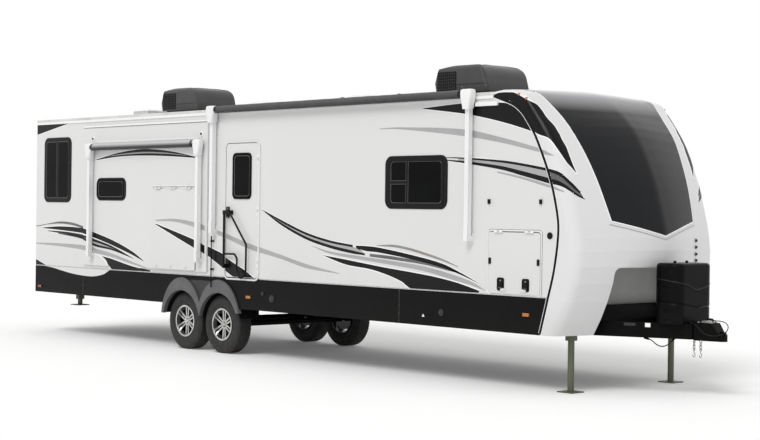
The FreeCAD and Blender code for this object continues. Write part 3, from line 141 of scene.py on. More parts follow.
upright = (1, 1, 0.1)
finishes = {
    "gelcoatWhite": {"color": 0.875, "other": (0.862, 0.862, 0.865), "rough": 0.16, "coat": 0.4,
        "mottle": (0.6,), "grime": (0.6, 1.0, 0.14), "bump": (3, 0.03)},
    "laminateWhite": {"color": (0.872, 0.872, 0.87), "other": (0.862, 0.862, 0.86), "rough": 0.28,
        "coat": 0.15, "shine": 0.4, "mottle": (0.5, (1, 1, 0.4)), "grime": (1.0, 1.5, 0.08),
        "bump": (3, 0.03), "roughRange": (0.275, 0.29, 0.8)},
    "doorWhite": {"color": (0.868, 0.868, 0.864), "other": (0.858, 0.858, 0.854), "rough": 0.3,
        "coat": 0.15, "shine": 0.4, "mottle": (0.6,), "grime": (1.0, 1.4, 0.08), "bump": (3, 0.03),
        "roughRange": (0.295, 0.31, 0.8)},
    "trimWhite": {"color": 0.95, "other": 0.93, "rough": 0.3, "coat": 0.3, "mottle": (9,),
        "bump": (120, 0.05)},
    "roofMembrane": {"color": (0.86, 0.86, 0.85), "other": (0.8, 0.8, 0.79), "rough": 0.75,
        "mottle": (3,), "bump": (60, 0.2), "streaks": (0.25, (0.62, 0.6, 0.56))},
    "sealantGrey": {"color": (0.78, 0.78, 0.76), "other": (0.68, 0.68, 0.66), "rough": 0.6, "mottle": (25,),
        "bump": (45, 0.5)},
    "skirtBlack": {"color": (0.045, 0.045, 0.046), "other": (0.056, 0.056, 0.055), "rough": 0.4,
        "shine": 0.08, "mottle": (4, (0.3, 1, 1)), "grime": (0.6, 0.9, 0.1), "dirt": (0.24, 0.23, 0.21),
        "bump": (14, 0.08)},
    "fenderCharcoal": {"color": (0.34, 0.34, 0.35), "other": (0.39, 0.39, 0.395), "rough": 0.5,
        "shine": 0.3, "mottle": (5,), "grime": (0.4, 0.95, 0.2), "dirt": (0.42, 0.41, 0.39),
        "bump": (160, 0.15)},
    "frameBlack": {"color": (0.038, 0.038, 0.04), "other": (0.052, 0.052, 0.054), "rough": 0.4,
        "shine": 0.15, "mottle": (20,), "bump": (300, 0.1)},
    "sealBlack": {"color": 0.045, "other": (0.07, 0.07, 0.068), "rough": 0.6, "shine": 0.15,
        "mottle": (30,), "bump": (220, 0.2)},
    "tintedGlass": {"color": (0.03, 0.032, 0.034), "other": (0.055, 0.06, 0.062), "rough": 0.05,
        "shine": 0.05, "mottle": (0.9, (1, 1, 2.5)), "roughRange": (0.03, 0.08, 3)},
    "steelBlack": {"color": (0.02, 0.021, 0.021), "other": (0.045, 0.042, 0.038), "rough": 0.45,
        "shine": 0.07, "mottle": (9,), "grime": (0.3, 0.8, 0.07), "dirt": (0.26, 0.24, 0.21),
        "bump": (70, 0.2)},
    "steelOlive": {"color": (0.36, 0.38, 0.31), "other": (0.29, 0.31, 0.24), "rough": 0.5, "metal": 0.25,
        "mottle": (14, (1, 1, 0.3)), "grime": (0.0, 0.5, 0.4), "dirt": (0.36, 0.33, 0.27),
        "bump": (120, 0.2)},
    "steelZinc": {"color": (0.66, 0.66, 0.65), "other": (0.48, 0.48, 0.47), "rough": 0.34, "metal": 0.9,
        "mottle": (60,), "bump": (200, 0.15)},
    "armWhite": {"color": 0.94, "other": (0.91, 0.912, 0.915), "rough": 0.35, "coat": 0.2,
        "mottle": (8, upright), "grime": (1.0, 1.8, 0.1), "bump": (120, 0.06)},
    # painted shade: both roller cloths, and the awning cloths made from them, turn darker below a height
    # (under) for the shaded underside of the roll
    "rollerCloth": {"color": 0.3, "other": 0.25, "rough": 0.75, "sheen": 0.15, "mottle": (3, (0.1, 8, 8)),
        "weave": (0.004, 0.25, (0, 2)), "under": (3.212, 3.275, 0.12)},
    "rollerClothLight": {"color": 0.8, "other": (0.74, 0.74, 0.745), "rough": 0.8, "sheen": 0.2,
        "mottle": (3, (0.1, 8, 8)), "weave": (0.004, 0.25, (0, 2)),
        "under": (2.8, 2.846, (0.12, 0.12, 0.125))},
    # painted shade: the shrouds turn darker below a height (under) for their shaded lower sides
    "shroudCharcoal": {"color": (0.19, 0.19, 0.2), "other": (0.225, 0.225, 0.235), "rough": 0.3,
        "shine": 0.5, "mottle": (5,), "under": (3.41, 3.5, (0.11, 0.11, 0.115)), "bump": (240, 0.1)},
    "coverBlack": {"color": (0.024, 0.024, 0.025), "other": (0.038, 0.038, 0.039), "rough": 0.32,
        "shine": 0.08, "mottle": (7,), "grime": (0.75, 1.1, 0.06), "dirt": (0.24, 0.23, 0.21),
        "bump": (220, 0.15)},
    "panelGrey": {"color": (0.72, 0.72, 0.71), "other": (0.68, 0.68, 0.67), "rough": 0.4, "shine": 0.3,
        "mottle": (3,), "grime": (0.9, 1.2, 0.12), "bump": (60, 0.06)},
    "tyreRubber": {"color": 0.16, "other": (0.2, 0.197, 0.193), "rough": 0.7, "shine": 0.3,
        "mottle": (12,), "grime": (0.0, 0.35, 0.2), "dirt": (0.38, 0.36, 0.32), "bump": (260, 0.2)},
    # painted shade: the deep tone darkens the wheel hollows behind the spoke faces
    "alloySilver": {"color": (0.78, 0.78, 0.77), "other": (0.66, 0.66, 0.65), "rough": 0.16, "metal": 0.85,
        "coat": 0.3, "mottle": (10,), "bump": (90, 0.05), "deep": (1.09, 1.122, 0.1)},
    "aluminiumRaw": {"color": 0.78, "other": 0.68, "rough": 0.3, "metal": 0.9, "mottle": (30, upright),
        "bump": (200, 0.08, (1, 1, 0.05))},
    "lensRed": {"color": (0.55, 0.04, 0.035), "other": (0.42, 0.025, 0.025), "rough": 0.1, "coat": 0.6,
        "mottle": (90, upright), "weave": (0.006, 0.5, (1, 2))},
    "lensAmber": {"color": (0.78, 0.47, 0.08), "other": (0.66, 0.36, 0.05), "rough": 0.1, "coat": 0.6,
        "mottle": (90, upright), "weave": (0.006, 0.4, (0, 2))},
    "deckBoard": {"color": (0.55, 0.43, 0.3), "other": (0.45, 0.34, 0.23), "rough": 0.65,
        "mottle": (4, (0.2, 3, 3)), "bump": (60, 0.2, (0.2, 2, 2))},
    "bellySheet": {"color": 0.1, "other": 0.14, "rough": 0.6, "mottle": (6,), "bump": (80, 0.3)},
    "cordBlack": {"color": 0.05, "other": (0.085, 0.085, 0.08), "rough": 0.5, "shine": 0.2, "mottle": (40,),
        "bump": (400, 0.2)},
    "stripeBlack": {"color": (0.055, 0.057, 0.06), "other": (0.07, 0.072, 0.075), "rough": 0.25,
        "shine": 0.15, "mottle": (1.5,), "bump": (3, 0.03)},
    # painted reflection: the front panel turns pale grey above a height (over) for the sky mirrored in its
    # crown
    "panelBlack": {"color": (0.055, 0.06, 0.072), "other": (0.07, 0.075, 0.087), "rough": 0.1,
        "shine": 0.18, "mottle": (1.2,), "over": (3.06, 3.3, (0.72, 0.72, 0.73)), "bump": (3, 0.02)},
    "stripeGrey": {"color": (0.66, 0.66, 0.662), "other": (0.63, 0.63, 0.632), "rough": 0.3, "coat": 0.3,
        "mottle": (2.5,), "bump": (160, 0.05)},
    "stripeDark": {"color": (0.36, 0.36, 0.365), "other": (0.31, 0.31, 0.315), "rough": 0.28, "coat": 0.3,
        "mottle": (2.5,), "bump": (160, 0.05)},
    "stripeBrown": {"color": (0.56, 0.545, 0.52), "other": (0.51, 0.5, 0.48), "rough": 0.3, "coat": 0.3,
        "mottle": (2.5,), "bump": (160, 0.05)},
    # mid grey for thin lines: painted highlight on the window beads, painted shadow under the slide and hatch
    # rails and round the luggage rims; it also colours the shroud bands and hatch seal lines
    "beadGrey": {"color": (0.36, 0.36, 0.365), "other": (0.3, 0.3, 0.305), "rough": 0.35, "shine": 0.4,
        "mottle": (20,), "bump": (200, 0.06)},
    "capGrey": {"color": 0.17, "other": 0.21, "rough": 0.45, "shine": 0.3, "mottle": (30,),
        "bump": (200, 0.15)},
    "stripeWhite": {"color": 0.975, "other": 0.96, "rough": 0.3, "coat": 0.2, "mottle": (2.5,),
        "bump": (160, 0.04)},
}
mats = {name: makeFinish(name, look) for name, look in finishes.items()}

nodeFinish = {
    "gelcoatWhite": "front_cap", "trimWhite": "roof_trims door_hinges", "roofMembrane": "roof roof_vents",
    "laminateWhite": "side_wall_right side_wall_left rear_wall slide_room_right slide_room_left",
    "doorWhite": "entry_door luggage_door_right luggage_door_left kitchen_hatch door_frame",
    "skirtBlack": "skirt_right skirt_left skirt_rear", "fenderCharcoal": "fenders",
    "frameBlack": "window_frames wall_fittings grab_rail",
    "tintedGlass": "window_glass door_window slide_windows_right slide_windows_left",
    "steelBlack": "chassis drawbar coupler axles leaf_springs rear_bumper", "steelOlive": "landing_legs",
    "steelZinc": "safety_chains", "armWhite": "awning_brackets awning_arms small_awning_arms",
    "rollerCloth": "awning_roller", "rollerClothLight": "small_awning_roller",
    "shroudCharcoal": "air_conditioner_rear air_conditioner_front", "coverBlack": "gas_bottle_cover",
    "panelGrey": "front_lower_panel", "aluminiumRaw": "rear_ladder", "lensRed": "tail_lamps",
    "alloySilver": " ".join("wheel_" + wheel for wheel in wheels), "lensAmber": "marker_lamps",
    "deckBoard": "floor_deck", "bellySheet": "underbelly",
}
for finish, names in nodeFinish.items():
    for name in names.split():
        mesh = nodes[name].data
        mesh.materials.clear()
        mesh.materials.append(mats[finish])
print("finishes on the CAD nodes")


# camera, lights and floor

view = {"place": (15.994, -14.103, 1.934), "ahead": (-0.73684, 0.67605, -0.00561),
        "up": (-0.01292, -0.00578, 0.9999), "focal": 1600, "width": 760, "sensor": 36}
camData = bpy.data.cameras.new("photoCamera")
camData.sensor_width = view["sensor"]
camData.lens = view["focal"] / view["width"] * view["sensor"]
camData.clip_end = 200
cam = bpy.data.objects.new("photoCamera", camData)
scene.collection.objects.link(cam)
back = -Vector(view["ahead"]).normalized()
right = Vector(view["up"]).cross(back).normalized()
up = back.cross(right)
cam.matrix_world = Matrix.Translation(view["place"]) @ Matrix((right, up, back)).transposed().to_4x4()
scene.camera = cam
scene.view_settings.view_transform = "Standard"

studio = {"sky": 0.62, "key": 1.35, "keyTurn": (math.radians(40), math.radians(-14), math.radians(34)),
          "keySoft": math.radians(26), "floorSize": 140, "floorLift": 0.085}


def backdropRays(made, worked):
    # 1 for rays that show the backdrop: camera, mirror and glass
    rays = made("ShaderNodeLightPath").node.outputs
    direct = worked("MAXIMUM", rays["Is Camera Ray"], rays["Is Glossy Ray"])
    return worked("MAXIMUM", direct, rays["Is Transmission Ray"])


world = bpy.data.worlds.new("studioSky")
scene.world = world
world.use_nodes = True
made, worked = nodeMaker(world.node_tree)
skyLight = made("ShaderNodeBackground", {"Color": (1, 1, 0.99, 1), "Strength": studio["sky"]})
seen = made("ShaderNodeBackground", {"Color": (1, 1, 1, 1), "Strength": 1})
mixSky = made("ShaderNodeMixShader", {0: backdropRays(made, worked), 1: skyLight, 2: seen})
world.node_tree.links.new(mixSky, world.node_tree.nodes["World Output"].inputs["Surface"])

sun = bpy.data.lights.new("keyLight", "SUN")
sun.energy = studio["key"]
sun.angle = studio["keySoft"]
sunObj = bpy.data.objects.new("keyLight", sun)
sunObj.rotation_euler = studio["keyTurn"]
scene.collection.objects.link(sunObj)

bm = bmesh.new()
bmesh.ops.create_grid(bm, x_segments=1, y_segments=1, size=studio["floorSize"])
floorMesh = bpy.data.meshes.new("floor")
bm.to_mesh(floorMesh)
bm.free()
floor = bpy.data.objects.new("floor", floorMesh)
scene.collection.objects.link(floor)
floorLook = {"color": 0.998, "other": 0.99, "rough": 0.9, "mottle": (1,)}
floorMesh.materials.append(makeFinish("floorPale", floorLook))
floorTree = floorMesh.materials[0].node_tree
made, worked = nodeMaker(floorTree)
glow = worked("MULTIPLY", backdropRays(made, worked), studio["floorLift"])
floorTree.links.new(glow, floorTree.nodes["Principled BSDF"].inputs["Emission Strength"])
floorTree.nodes["Principled BSDF"].inputs["Emission Color"].default_value = (1, 1, 1, 1)
print("camera, lights and floor")


# ways to make a piece

def smoothly(mesh, degrees=35):
    mesh.polygons.foreach_set("use_smooth", [True] * len(mesh.polygons))
    mesh.set_sharp_from_angle(angle=math.radians(degrees))


def addPiece(name, source, finish, body=None, degrees=35):
    mesh = source
    if isinstance(source, bmesh.types.BMesh):
        bmesh.ops.recalc_face_normals(source, faces=source.faces)
        mesh = bpy.data.meshes.new(name)
        source.to_mesh(mesh)
        source.free()
    mesh.materials.clear()
    mesh.materials.append(mats[finish])
    smoothly(mesh, degrees)
    obj = bpy.data.objects.new(name, mesh)
    scene.collection.objects.link(obj)
    if body:
        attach(obj, body)
    return obj


def closeUp(bm, reach=0.00005):
    bmesh.ops.remove_doubles(bm, verts=bm.verts, dist=reach)
    flat = [f for f in bm.faces if f.calc_area() < 1e-12]
    bmesh.ops.delete(bm, geom=flat, context="FACES_ONLY")


def makePiece(name, finish, body, *steps, close=False, degrees=35):
    # a piece from steps, each an add function with its values; close joins corners that meet
    bm = bmesh.new()
    for add, *values in steps:
        add(bm, *values)
    if close:
        closeUp(bm)
    return addPiece(name, bm, finish, body, degrees)


def meshOf(obj):
    # a plain mesh of what the object shows
    bpy.context.view_layer.update()
    return bpy.data.meshes.new_from_object(obj.evaluated_get(bpy.context.evaluated_depsgraph_get()))


def tubeCurve(name, points, radius, roundness, resolution):
    curve = bpy.data.curves.new(name, "CURVE")
    curve.dimensions = "3D"
    curve.bevel_depth = radius
    curve.bevel_resolution = roundness
    curve.use_fill_caps = True
    spline = curve.splines.new("NURBS")
    spline.points.add(len(points) - 1)
    for point, at in zip(spline.points, points):
        point.co = (*at, 1)
    spline.order_u = 3
    spline.use_endpoint_u = True
    spline.resolution_u = resolution
    tube = bpy.data.objects.new(name, curve)
    scene.collection.objects.link(tube)
    return tube


def addTube(name, points, radius, roundness, finish):
    line = tubeCurve("line", points, radius, roundness, 8)
    mesh = meshOf(line)
    bpy.data.objects.remove(line)
    addPiece(name, mesh, finish, "root", 60)


def addSkin(bm, rings, closed=False):
    # faces between neighbouring rings of corners; a ring of one corner is a tip
    for a, b in zip(rings, rings[1:] + (rings[:1] if closed else [])):
        count = max(len(a), len(b))
        for i in range(count):
            j = (i + 1) % count
            corners = list(dict.fromkeys((a[i % len(a)], a[j % len(a)], b[j % len(b)], b[i % len(b)])))
            if len(corners) > 2:
                bm.faces.new(corners)


def addTurned(bm, profile, centre, axis, sides=48):
    # a closed ring or disc: profile gives (radius, place along the axis) from the inside round to the inside
    across = Vector((0, 0, 1)) if abs(axis[2]) < 0.9 else Vector((1, 0, 0))
    along = Vector(axis).normalized()
    other = along.cross(across)
    rings = []
    for radius, place in profile:
        middle = Vector(centre) + along * place
        turns = [2 * math.pi * i / sides for i in range(sides)] if radius > 1e-6 else [0]
        rings.append([bm.verts.new(middle + (across * math.cos(a) + other * math.sin(a)) * radius)
                      for a in turns])
    addSkin(bm, rings)


def eased(keys, step):
    # smooth line through rows of numbers, the first of which grows
    count = len(keys)
    slopes = []
    for i in range(count):
        a, b = keys[max(0, i - 1)], keys[min(count - 1, i + 1)]
        slopes.append([(q - p) / (b[0] - a[0]) for p, q in zip(a, b)])
    rows = [tuple(keys[0])]
    for i in range(count - 1):
        a, b = keys[i], keys[i + 1]
        width = b[0] - a[0]
        parts = max(1, math.ceil(width / step))
        for k in range(1, parts + 1):
            t = k / parts
            row = [a[0] + width * t]
            for j in range(1, len(a)):
                leave, arrive = width * slopes[i][j], width * slopes[i + 1][j]
                row.append((2 * t ** 3 - 3 * t ** 2 + 1) * a[j] + (t ** 3 - 2 * t ** 2 + t) * leave
                           + (3 * t ** 2 - 2 * t ** 3) * b[j] + (t ** 3 - t ** 2) * arrive)
            rows.append(tuple(row))
    return rows


def addDecal(bm, rows, place, cell, lift, sunk=0.0005):
    # a thin closed skin between the upper and lower edge of each row, laid on a surface
    rows = [r for r in rows if r[1] - r[2] > -1e-6]
    if len(rows) < 2:
        return
    tall = max(r[1] - r[2] for r in rows)
    steps = max(1, math.ceil(tall / cell))
    front, behind = [], []
    for u, top, bottom in rows:
        spots = [place(u, bottom + (top - bottom) * k / steps) for k in range(steps + 1)]
        front.append([bm.verts.new(point + normal * lift) for point, normal in spots])
        behind.append([bm.verts.new(point - normal * sunk) for point, normal in spots])
    last = len(rows) - 1
    for i in range(last):
        for k in range(steps):
            for sheet in (front, behind):
                bm.faces.new((sheet[i][k], sheet[i + 1][k], sheet[i + 1][k + 1], sheet[i][k + 1]))
        for k in (0, steps):
            bm.faces.new((front[i][k], front[i + 1][k], behind[i + 1][k], behind[i][k]))
    for i in (0, last):
        for k in range(steps):
            bm.faces.new((front[i][k], front[i][k + 1], behind[i][k + 1], behind[i][k]))


def addRibbon(bm, spots, width, lift, sunk=0.002):
    # a flat strip along (point, normal) pairs of a surface
    rings = []
    for i, (point, normal) in enumerate(spots):
        along = spots[min(len(spots) - 1, i + 1)][0] - spots[max(0, i - 1)][0]
        off = normal.cross(along).normalized() * width / 2
        rings.append([bm.verts.new(point + off * edge + normal * rise)
                      for edge, rise in ((-1, lift), (1, lift), (1, -sunk), (-1, -sunk))])
    addSkin(bm, rings)
    bm.faces.new(rings[0])
    bm.faces.new(rings[-1])


def roundedRect(low, high, corner, steps=6):
    points = []
    for u, v, start in ((high[0] - corner, high[1] - corner, 0), (low[0] + corner, high[1] - corner, 90),
                        (low[0] + corner, low[1] + corner, 180), (high[0] - corner, low[1] + corner, 270)):
        for k in range(steps + 1):
            turn = math.radians(start + 90 * k / steps)
            points.append((u + corner * math.cos(turn), v + corner * math.sin(turn)))
    return points


def addLoft(bm, sections, lay, closed=False):
    # rounded rectangles joined in order, each (low, high, corner, height)
    rings = [[bm.verts.new(lay(u, v, height)) for u, v in roundedRect(low, high, corner)]
             for low, high, corner, height in sections]
    addSkin(bm, rings, closed)
    if not closed:
        bm.faces.new(rings[0])
        bm.faces.new(rings[-1])


def shrunk(low, high, corner, steps):
    return [((low[0] + inset, low[1] + inset), (high[0] - inset, high[1] - inset),
             max(corner - inset, 0.0015), height) for inset, height in steps]


def addRing(bm, low, high, corner, width, lay, lift, soft=0.0015, sunk=0.0008):
    # rounded rectangular ring, its width measured inwards
    steps = [(0, -sunk), (0, lift - soft), (soft, lift), (width - soft, lift), (width, lift - soft),
             (width, -sunk)]
    addLoft(bm, shrunk(low, high, corner, steps), lay, True)


def addPad(bm, low, high, corner, lay, lift, soft=0.0015, sunk=0.0008):
    addLoft(bm, shrunk(low, high, corner, [(0, -sunk), (0, lift - soft), (soft, lift)]), lay)


def onSide(side, face):
    return lambda u, v, height: Vector((u, side * (face + height), v))


def onRear(face):
    return lambda u, v, height: Vector((face - height, u, v))


def onTop(u, v, height):
    return Vector((u, v, height))


def onWall(side, face):
    # point and normal on a flat side, for decals and ribbons
    return lambda u, v: (Vector((u, side * face, v)), Vector((0, side, 0)))


def surfaceOf(name):
    mesh = nodes[name].data
    faces = [tuple(p.vertices) for p in mesh.polygons]
    return BVHTree.FromPolygons([v.co.copy() for v in mesh.vertices], faces)


# node trees for what repeats

def newTree(name, inputs):
    # a tree with named inputs; finishOff paints what it makes and ends it
    tree = bpy.data.node_groups.new(name, "GeometryNodeTree")
    for label, kind in {"Geometry": "Geometry", **inputs, "Finish": "Material"}.items():
        tree.interface.new_socket(label, in_out="INPUT", socket_type="NodeSocket" + kind)
    tree.interface.new_socket("Geometry", in_out="OUTPUT", socket_type="NodeSocketGeometry")
    made, worked = nodeMaker(tree)
    inside = tree.nodes.new("NodeGroupInput").outputs
    outside = tree.nodes.new("NodeGroupOutput").inputs

    def finishOff(geometry):
        real = made("GeometryNodeRealizeInstances", {"Geometry": geometry})
        paint = made("GeometryNodeSetMaterial", {"Geometry": real, "Material": inside["Finish"]})
        tree.links.new(paint, outside["Geometry"])
        return tree

    return made, worked, inside, finishOff


def grow(name, tree, sizes, finish, body, seedMesh=None, degrees=35):
    # runs a node tree on a seed and keeps the plain mesh
    seed = bpy.data.objects.new(name + "Seed", seedMesh or bpy.data.meshes.new(name + "Seed"))
    scene.collection.objects.link(seed)
    modifier = seed.modifiers.new("grow", "NODES")
    modifier.node_group = tree
    sizes = dict(sizes, Finish=mats[finish])
    for item in tree.interface.items_tree:
        if item.item_type == "SOCKET" and item.in_out == "INPUT" and item.name in sizes:
            modifier[item.identifier] = sizes[item.name]
    mesh = meshOf(seed)
    bpy.data.objects.remove(seed)
    mesh.name = name
    smoothly(mesh, degrees)
    obj = bpy.data.objects.new(name, mesh)
    scene.collection.objects.link(obj)
    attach(obj, body)


def buildScrewTree():
    # round heads at even steps along the edges of the seed
    made, worked, inside, finishOff = newTree("screwRow", {
        "Spacing": "Float", "Head Radius": "Float", "Head Height": "Float", "Facing": "Vector"})
    line = made("GeometryNodeMeshToCurve", {"Mesh": inside["Geometry"]})
    steps = made("GeometryNodeResampleCurve", {"Curve": line, "Length": inside["Spacing"]}, mode="LENGTH")
    head = made("GeometryNodeMeshCone", {
        "Vertices": 10, "Radius Bottom": inside["Head Radius"], "Depth": inside["Head Height"],
        "Radius Top": worked("MULTIPLY", inside["Head Radius"], 0.55)})
    turn = made("FunctionNodeAlignRotationToVector", {"Vector": inside["Facing"]}, axis="Z")
    heads = made("GeometryNodeInstanceOnPoints", {"Points": steps, "Instance": head, "Rotation": turn})
    return finishOff(heads)


def buildTreadTree():
    # rows of tread blocks round a tyre, each row turned by half a block
    made, worked, inside, finishOff = newTree("treadBlocks", {
        "Count": "Int", "Rows": "Int", "Row Pitch": "Float", "Radius": "Float", "Block Size": "Vector",
        "Skew": "Float", "Centre": "Vector"})
    index = made("GeometryNodeInputIndex")
    perBlock = worked("DIVIDE", 2 * math.pi, inside["Count"])
    ring = made("GeometryNodeMeshCircle", {"Vertices": inside["Count"], "Radius": inside["Radius"]})
    block = made("GeometryNodeMeshCube", {"Size": inside["Block Size"]})
    turn = made("ShaderNodeCombineXYZ", {"X": inside["Skew"], "Z": worked("MULTIPLY", index, perBlock)})
    around = made("GeometryNodeInstanceOnPoints", {"Points": ring, "Instance": block, "Rotation": turn})
    width = worked("MULTIPLY", worked("SUBTRACT", inside["Rows"], 1), inside["Row Pitch"])
    start = made("ShaderNodeCombineXYZ", {"Z": worked("MULTIPLY", width, -0.5)})
    step = made("ShaderNodeCombineXYZ", {"Z": inside["Row Pitch"]})
    lineUp = made("GeometryNodeMeshLine", {"Count": inside["Rows"], "Start Location": start, "Offset": step})
    shift = worked("MULTIPLY", worked("MODULO", index, 2), worked("MULTIPLY", perBlock, 0.5))
    rowTurn = made("ShaderNodeCombineXYZ", {"Z": shift})
    rows = made("GeometryNodeInstanceOnPoints", {"Points": lineUp, "Instance": around, "Rotation": rowTurn})
    return finishOff(made("GeometryNodeTransform", {"Geometry": rows, "Translation": inside["Centre"],
                                                    "Rotation": (math.pi / 2, 0, 0)}))


def buildSlatTree():
    # a stack of slim slats between two ends
    made, worked, inside, finishOff = newTree("slatStack", {
        "Count": "Int", "Start": "Vector", "Step": "Vector", "Slat Size": "Vector"})
    line = made("GeometryNodeMeshLine", {"Count": inside["Count"], "Start Location": inside["Start"],
                                         "Offset": inside["Step"]})
    slat = made("GeometryNodeMeshCube", {"Size": inside["Slat Size"]})
    return finishOff(made("GeometryNodeInstanceOnPoints", {"Points": line, "Instance": slat}))


screwTree, treadTree, slatTree = buildScrewTree(), buildTreadTree(), buildSlatTree()


def addScrews(name, lines, spacing, facing, radius=0.005):
    # a head at every step along each line, a list of points
    mesh = bpy.data.meshes.new(name + "Lines")
    verts, edges = [], []
    for line in lines:
        base = len(verts)
        verts += [tuple(p) for p in line]
        edges += [(base + i, base + i + 1) for i in range(len(line) - 1)]
    mesh.from_pydata(verts, edges, [])
    sizes = {"Spacing": spacing, "Head Radius": radius, "Head Height": radius * 0.5, "Facing": facing}
    grow(name, screwTree, sizes, "steelZinc", "root", mesh)


# cords: the route points of the CAD solids, in metres

cords = {
    "chargeCord": {"node": "charge_cord", "farEnd": "object", "stiffness": "stiff", "radius": 0.006,
                   "length": 0.305, "route": [
        (5.262, -0.328, 0.599), (5.299, -0.312, 0.589), (5.33, -0.298, 0.56), (5.363, -0.283, 0.532),
        (5.402, -0.265, 0.519), (5.442, -0.247, 0.527), (5.48, -0.23, 0.552), (5.511, -0.216, 0.59)]},
    "leadCord": {"node": "lead_cord", "farEnd": "plug", "stiffness": "medium", "radius": 0.005,
                 "length": 0.72, "route": [
        (5.7, -0.15, 0.783), (5.746, -0.151, 0.78), (5.796, -0.163, 0.752), (5.843, -0.171, 0.708),
        (5.898, -0.161, 0.676), (5.96, -0.131, 0.662), (6.017, -0.088, 0.668), (6.055, -0.038, 0.694),
        (6.062, 0.014, 0.736), (6.032, 0.046, 0.781), (5.982, 0.044, 0.808), (5.934, 0.02, 0.815),
        (5.885, 0.012, 0.8143)]},
}
leadPlug = {"end": (5.8844, 0.012, 0.8143), "radius": 0.024, "length": 0.09, "ribs": 5}


def makePlug():
    # round plug with a ribbed grip and a tapered neck over the cord
    size, long = leadPlug["radius"], leadPlug["length"]
    profile = [(0, -long), (size * 0.86, -long), (size, -long * 0.97), (size, -long * 0.78),
               (size * 0.93, -long * 0.76)]
    for i in range(leadPlug["ribs"]):
        at = -long * (0.72 - 0.09 * i)
        for share, step in ((0.93, 0), (0.985, 0.002), (0.985, 0.004), (0.93, 0.006)):
            profile.append((size * share, at + step))
    profile += [(size * 0.8, -long * 0.22), (size * 0.42, -long * 0.1), (size * 0.3, 0), (0, 0)]
    return makePiece("leadPlug", "frameBlack", "root", (addTurned, profile, leadPlug["end"], (1, 0, 0), 28))


def makeCord(name):
    look = cords[name]
    cord = tubeCurve(name, look["route"], look["radius"], 4, 10)
    cord.data.materials.append(mats["cordBlack"])
    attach(cord, "root")
    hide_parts(look["node"])
    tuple(look["route"][0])


def makeBoot(name, at, toward, radius, length=0.03):
    # tapered strain relief where a cord leaves its gland
    profile = [(radius * 1.02, 0), (radius * 2.3, 0)]
    for i in range(4):
        wide = radius * (2.2 - 0.28 * i)
        place = length * (0.1 + 0.2 * i)
        profile += [(wide, place), (wide, place + length * 0.1), (wide - radius * 0.3, place + length * 0.12)]
    profile += [(radius * 1.15, length), (radius * 1.02, length), (radius * 1.02, 0)]
    along = (Vector(toward) - Vector(at)).normalized()
    makePiece(name, "sealBlack", "root", (addTurned, profile, at, along, 20), close=True)


plugPiece = makePlug()
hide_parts("lead_plug")
makeCord("leadCord")
makeCord("chargeCord")
charge, lead = cords["chargeCord"], cords["leadCord"]
makeBoot("chargeBootRear", charge["route"][0], charge["route"][1], charge["radius"])
makeBoot("chargeBootFront", charge["route"][-1], charge["route"][-2], charge["radius"])
makeBoot("leadBoot", lead["route"][0], lead["route"][1], lead["radius"])
print("cords")


# tyres: turned bodies with tread blocks

tyreLook = {"profile": [(0.541, 0.62), (0.56, 0.8), (0.6, 0.88), (0.66, 0.95), (0.7, 0.985), (0.705, 1.0),
                        (0.725, 1.0), (0.73, 0.985), (0.78, 0.998), (0.83, 1.0), (0.875, 0.985),
                        (0.905, 0.955), (0.925, 0.9), (0.945, 0.86), (0.968, 0.8), (0.974, 0.77)],
            "blocks": {"Count": 58, "Rows": 5, "Row Pitch": 0.0365, "Radius": 0.3815,
                       "Block Size": (0.0104, 0.034, 0.0315), "Skew": 0.16}}
for wheel in wheels:
    low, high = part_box("tyre_" + wheel)
    centre = [(a + b) / 2 for a, b in zip(low, high)]
    radius, half = (high[2] - low[2]) / 2, (high[1] - low[1]) / 2
    outer = [(r * radius, w * half) for r, w in tyreLook["profile"]]
    profile = [(r, -w) for r, w in outer] + [(r, w) for r, w in reversed(outer)]
    profile.append(profile[0])
    body = makePiece("tyreBody_" + wheel, "tyreRubber", "wheel_" + wheel,
                     (addTurned, profile, centre, (0, 1, 0), 80), close=True)
    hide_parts("tyre_" + wheel)
    grow("tread_" + wheel, treadTree, dict(tyreLook["blocks"], Centre=centre), "tyreRubber", "wheel_" + wheel,
         degrees=20)
print("tyres")


# awning cloth: a strip from its rail to the roller, and once round it

awningCloths = {
    "awningCloth": {"roller": "awning_roller", "joint": ("root", "awning"), "rail": (-1.2365, 3.214),
                    "finish": "rollerCloth", "inset": 0.02},
    "smallAwningCloth": {"roller": "small_awning_roller", "joint": ("slide_room_right", "small_awning"),
                         "rail": (-1.257, 2.886), "finish": "rollerClothLight", "inset": 0.015},
}
clothSize = {"strip": 6, "sag": 0.004, "turns": 1.12, "sides": 40, "layer": 0.0022, "across": 60,
             "thick": 0.0008}


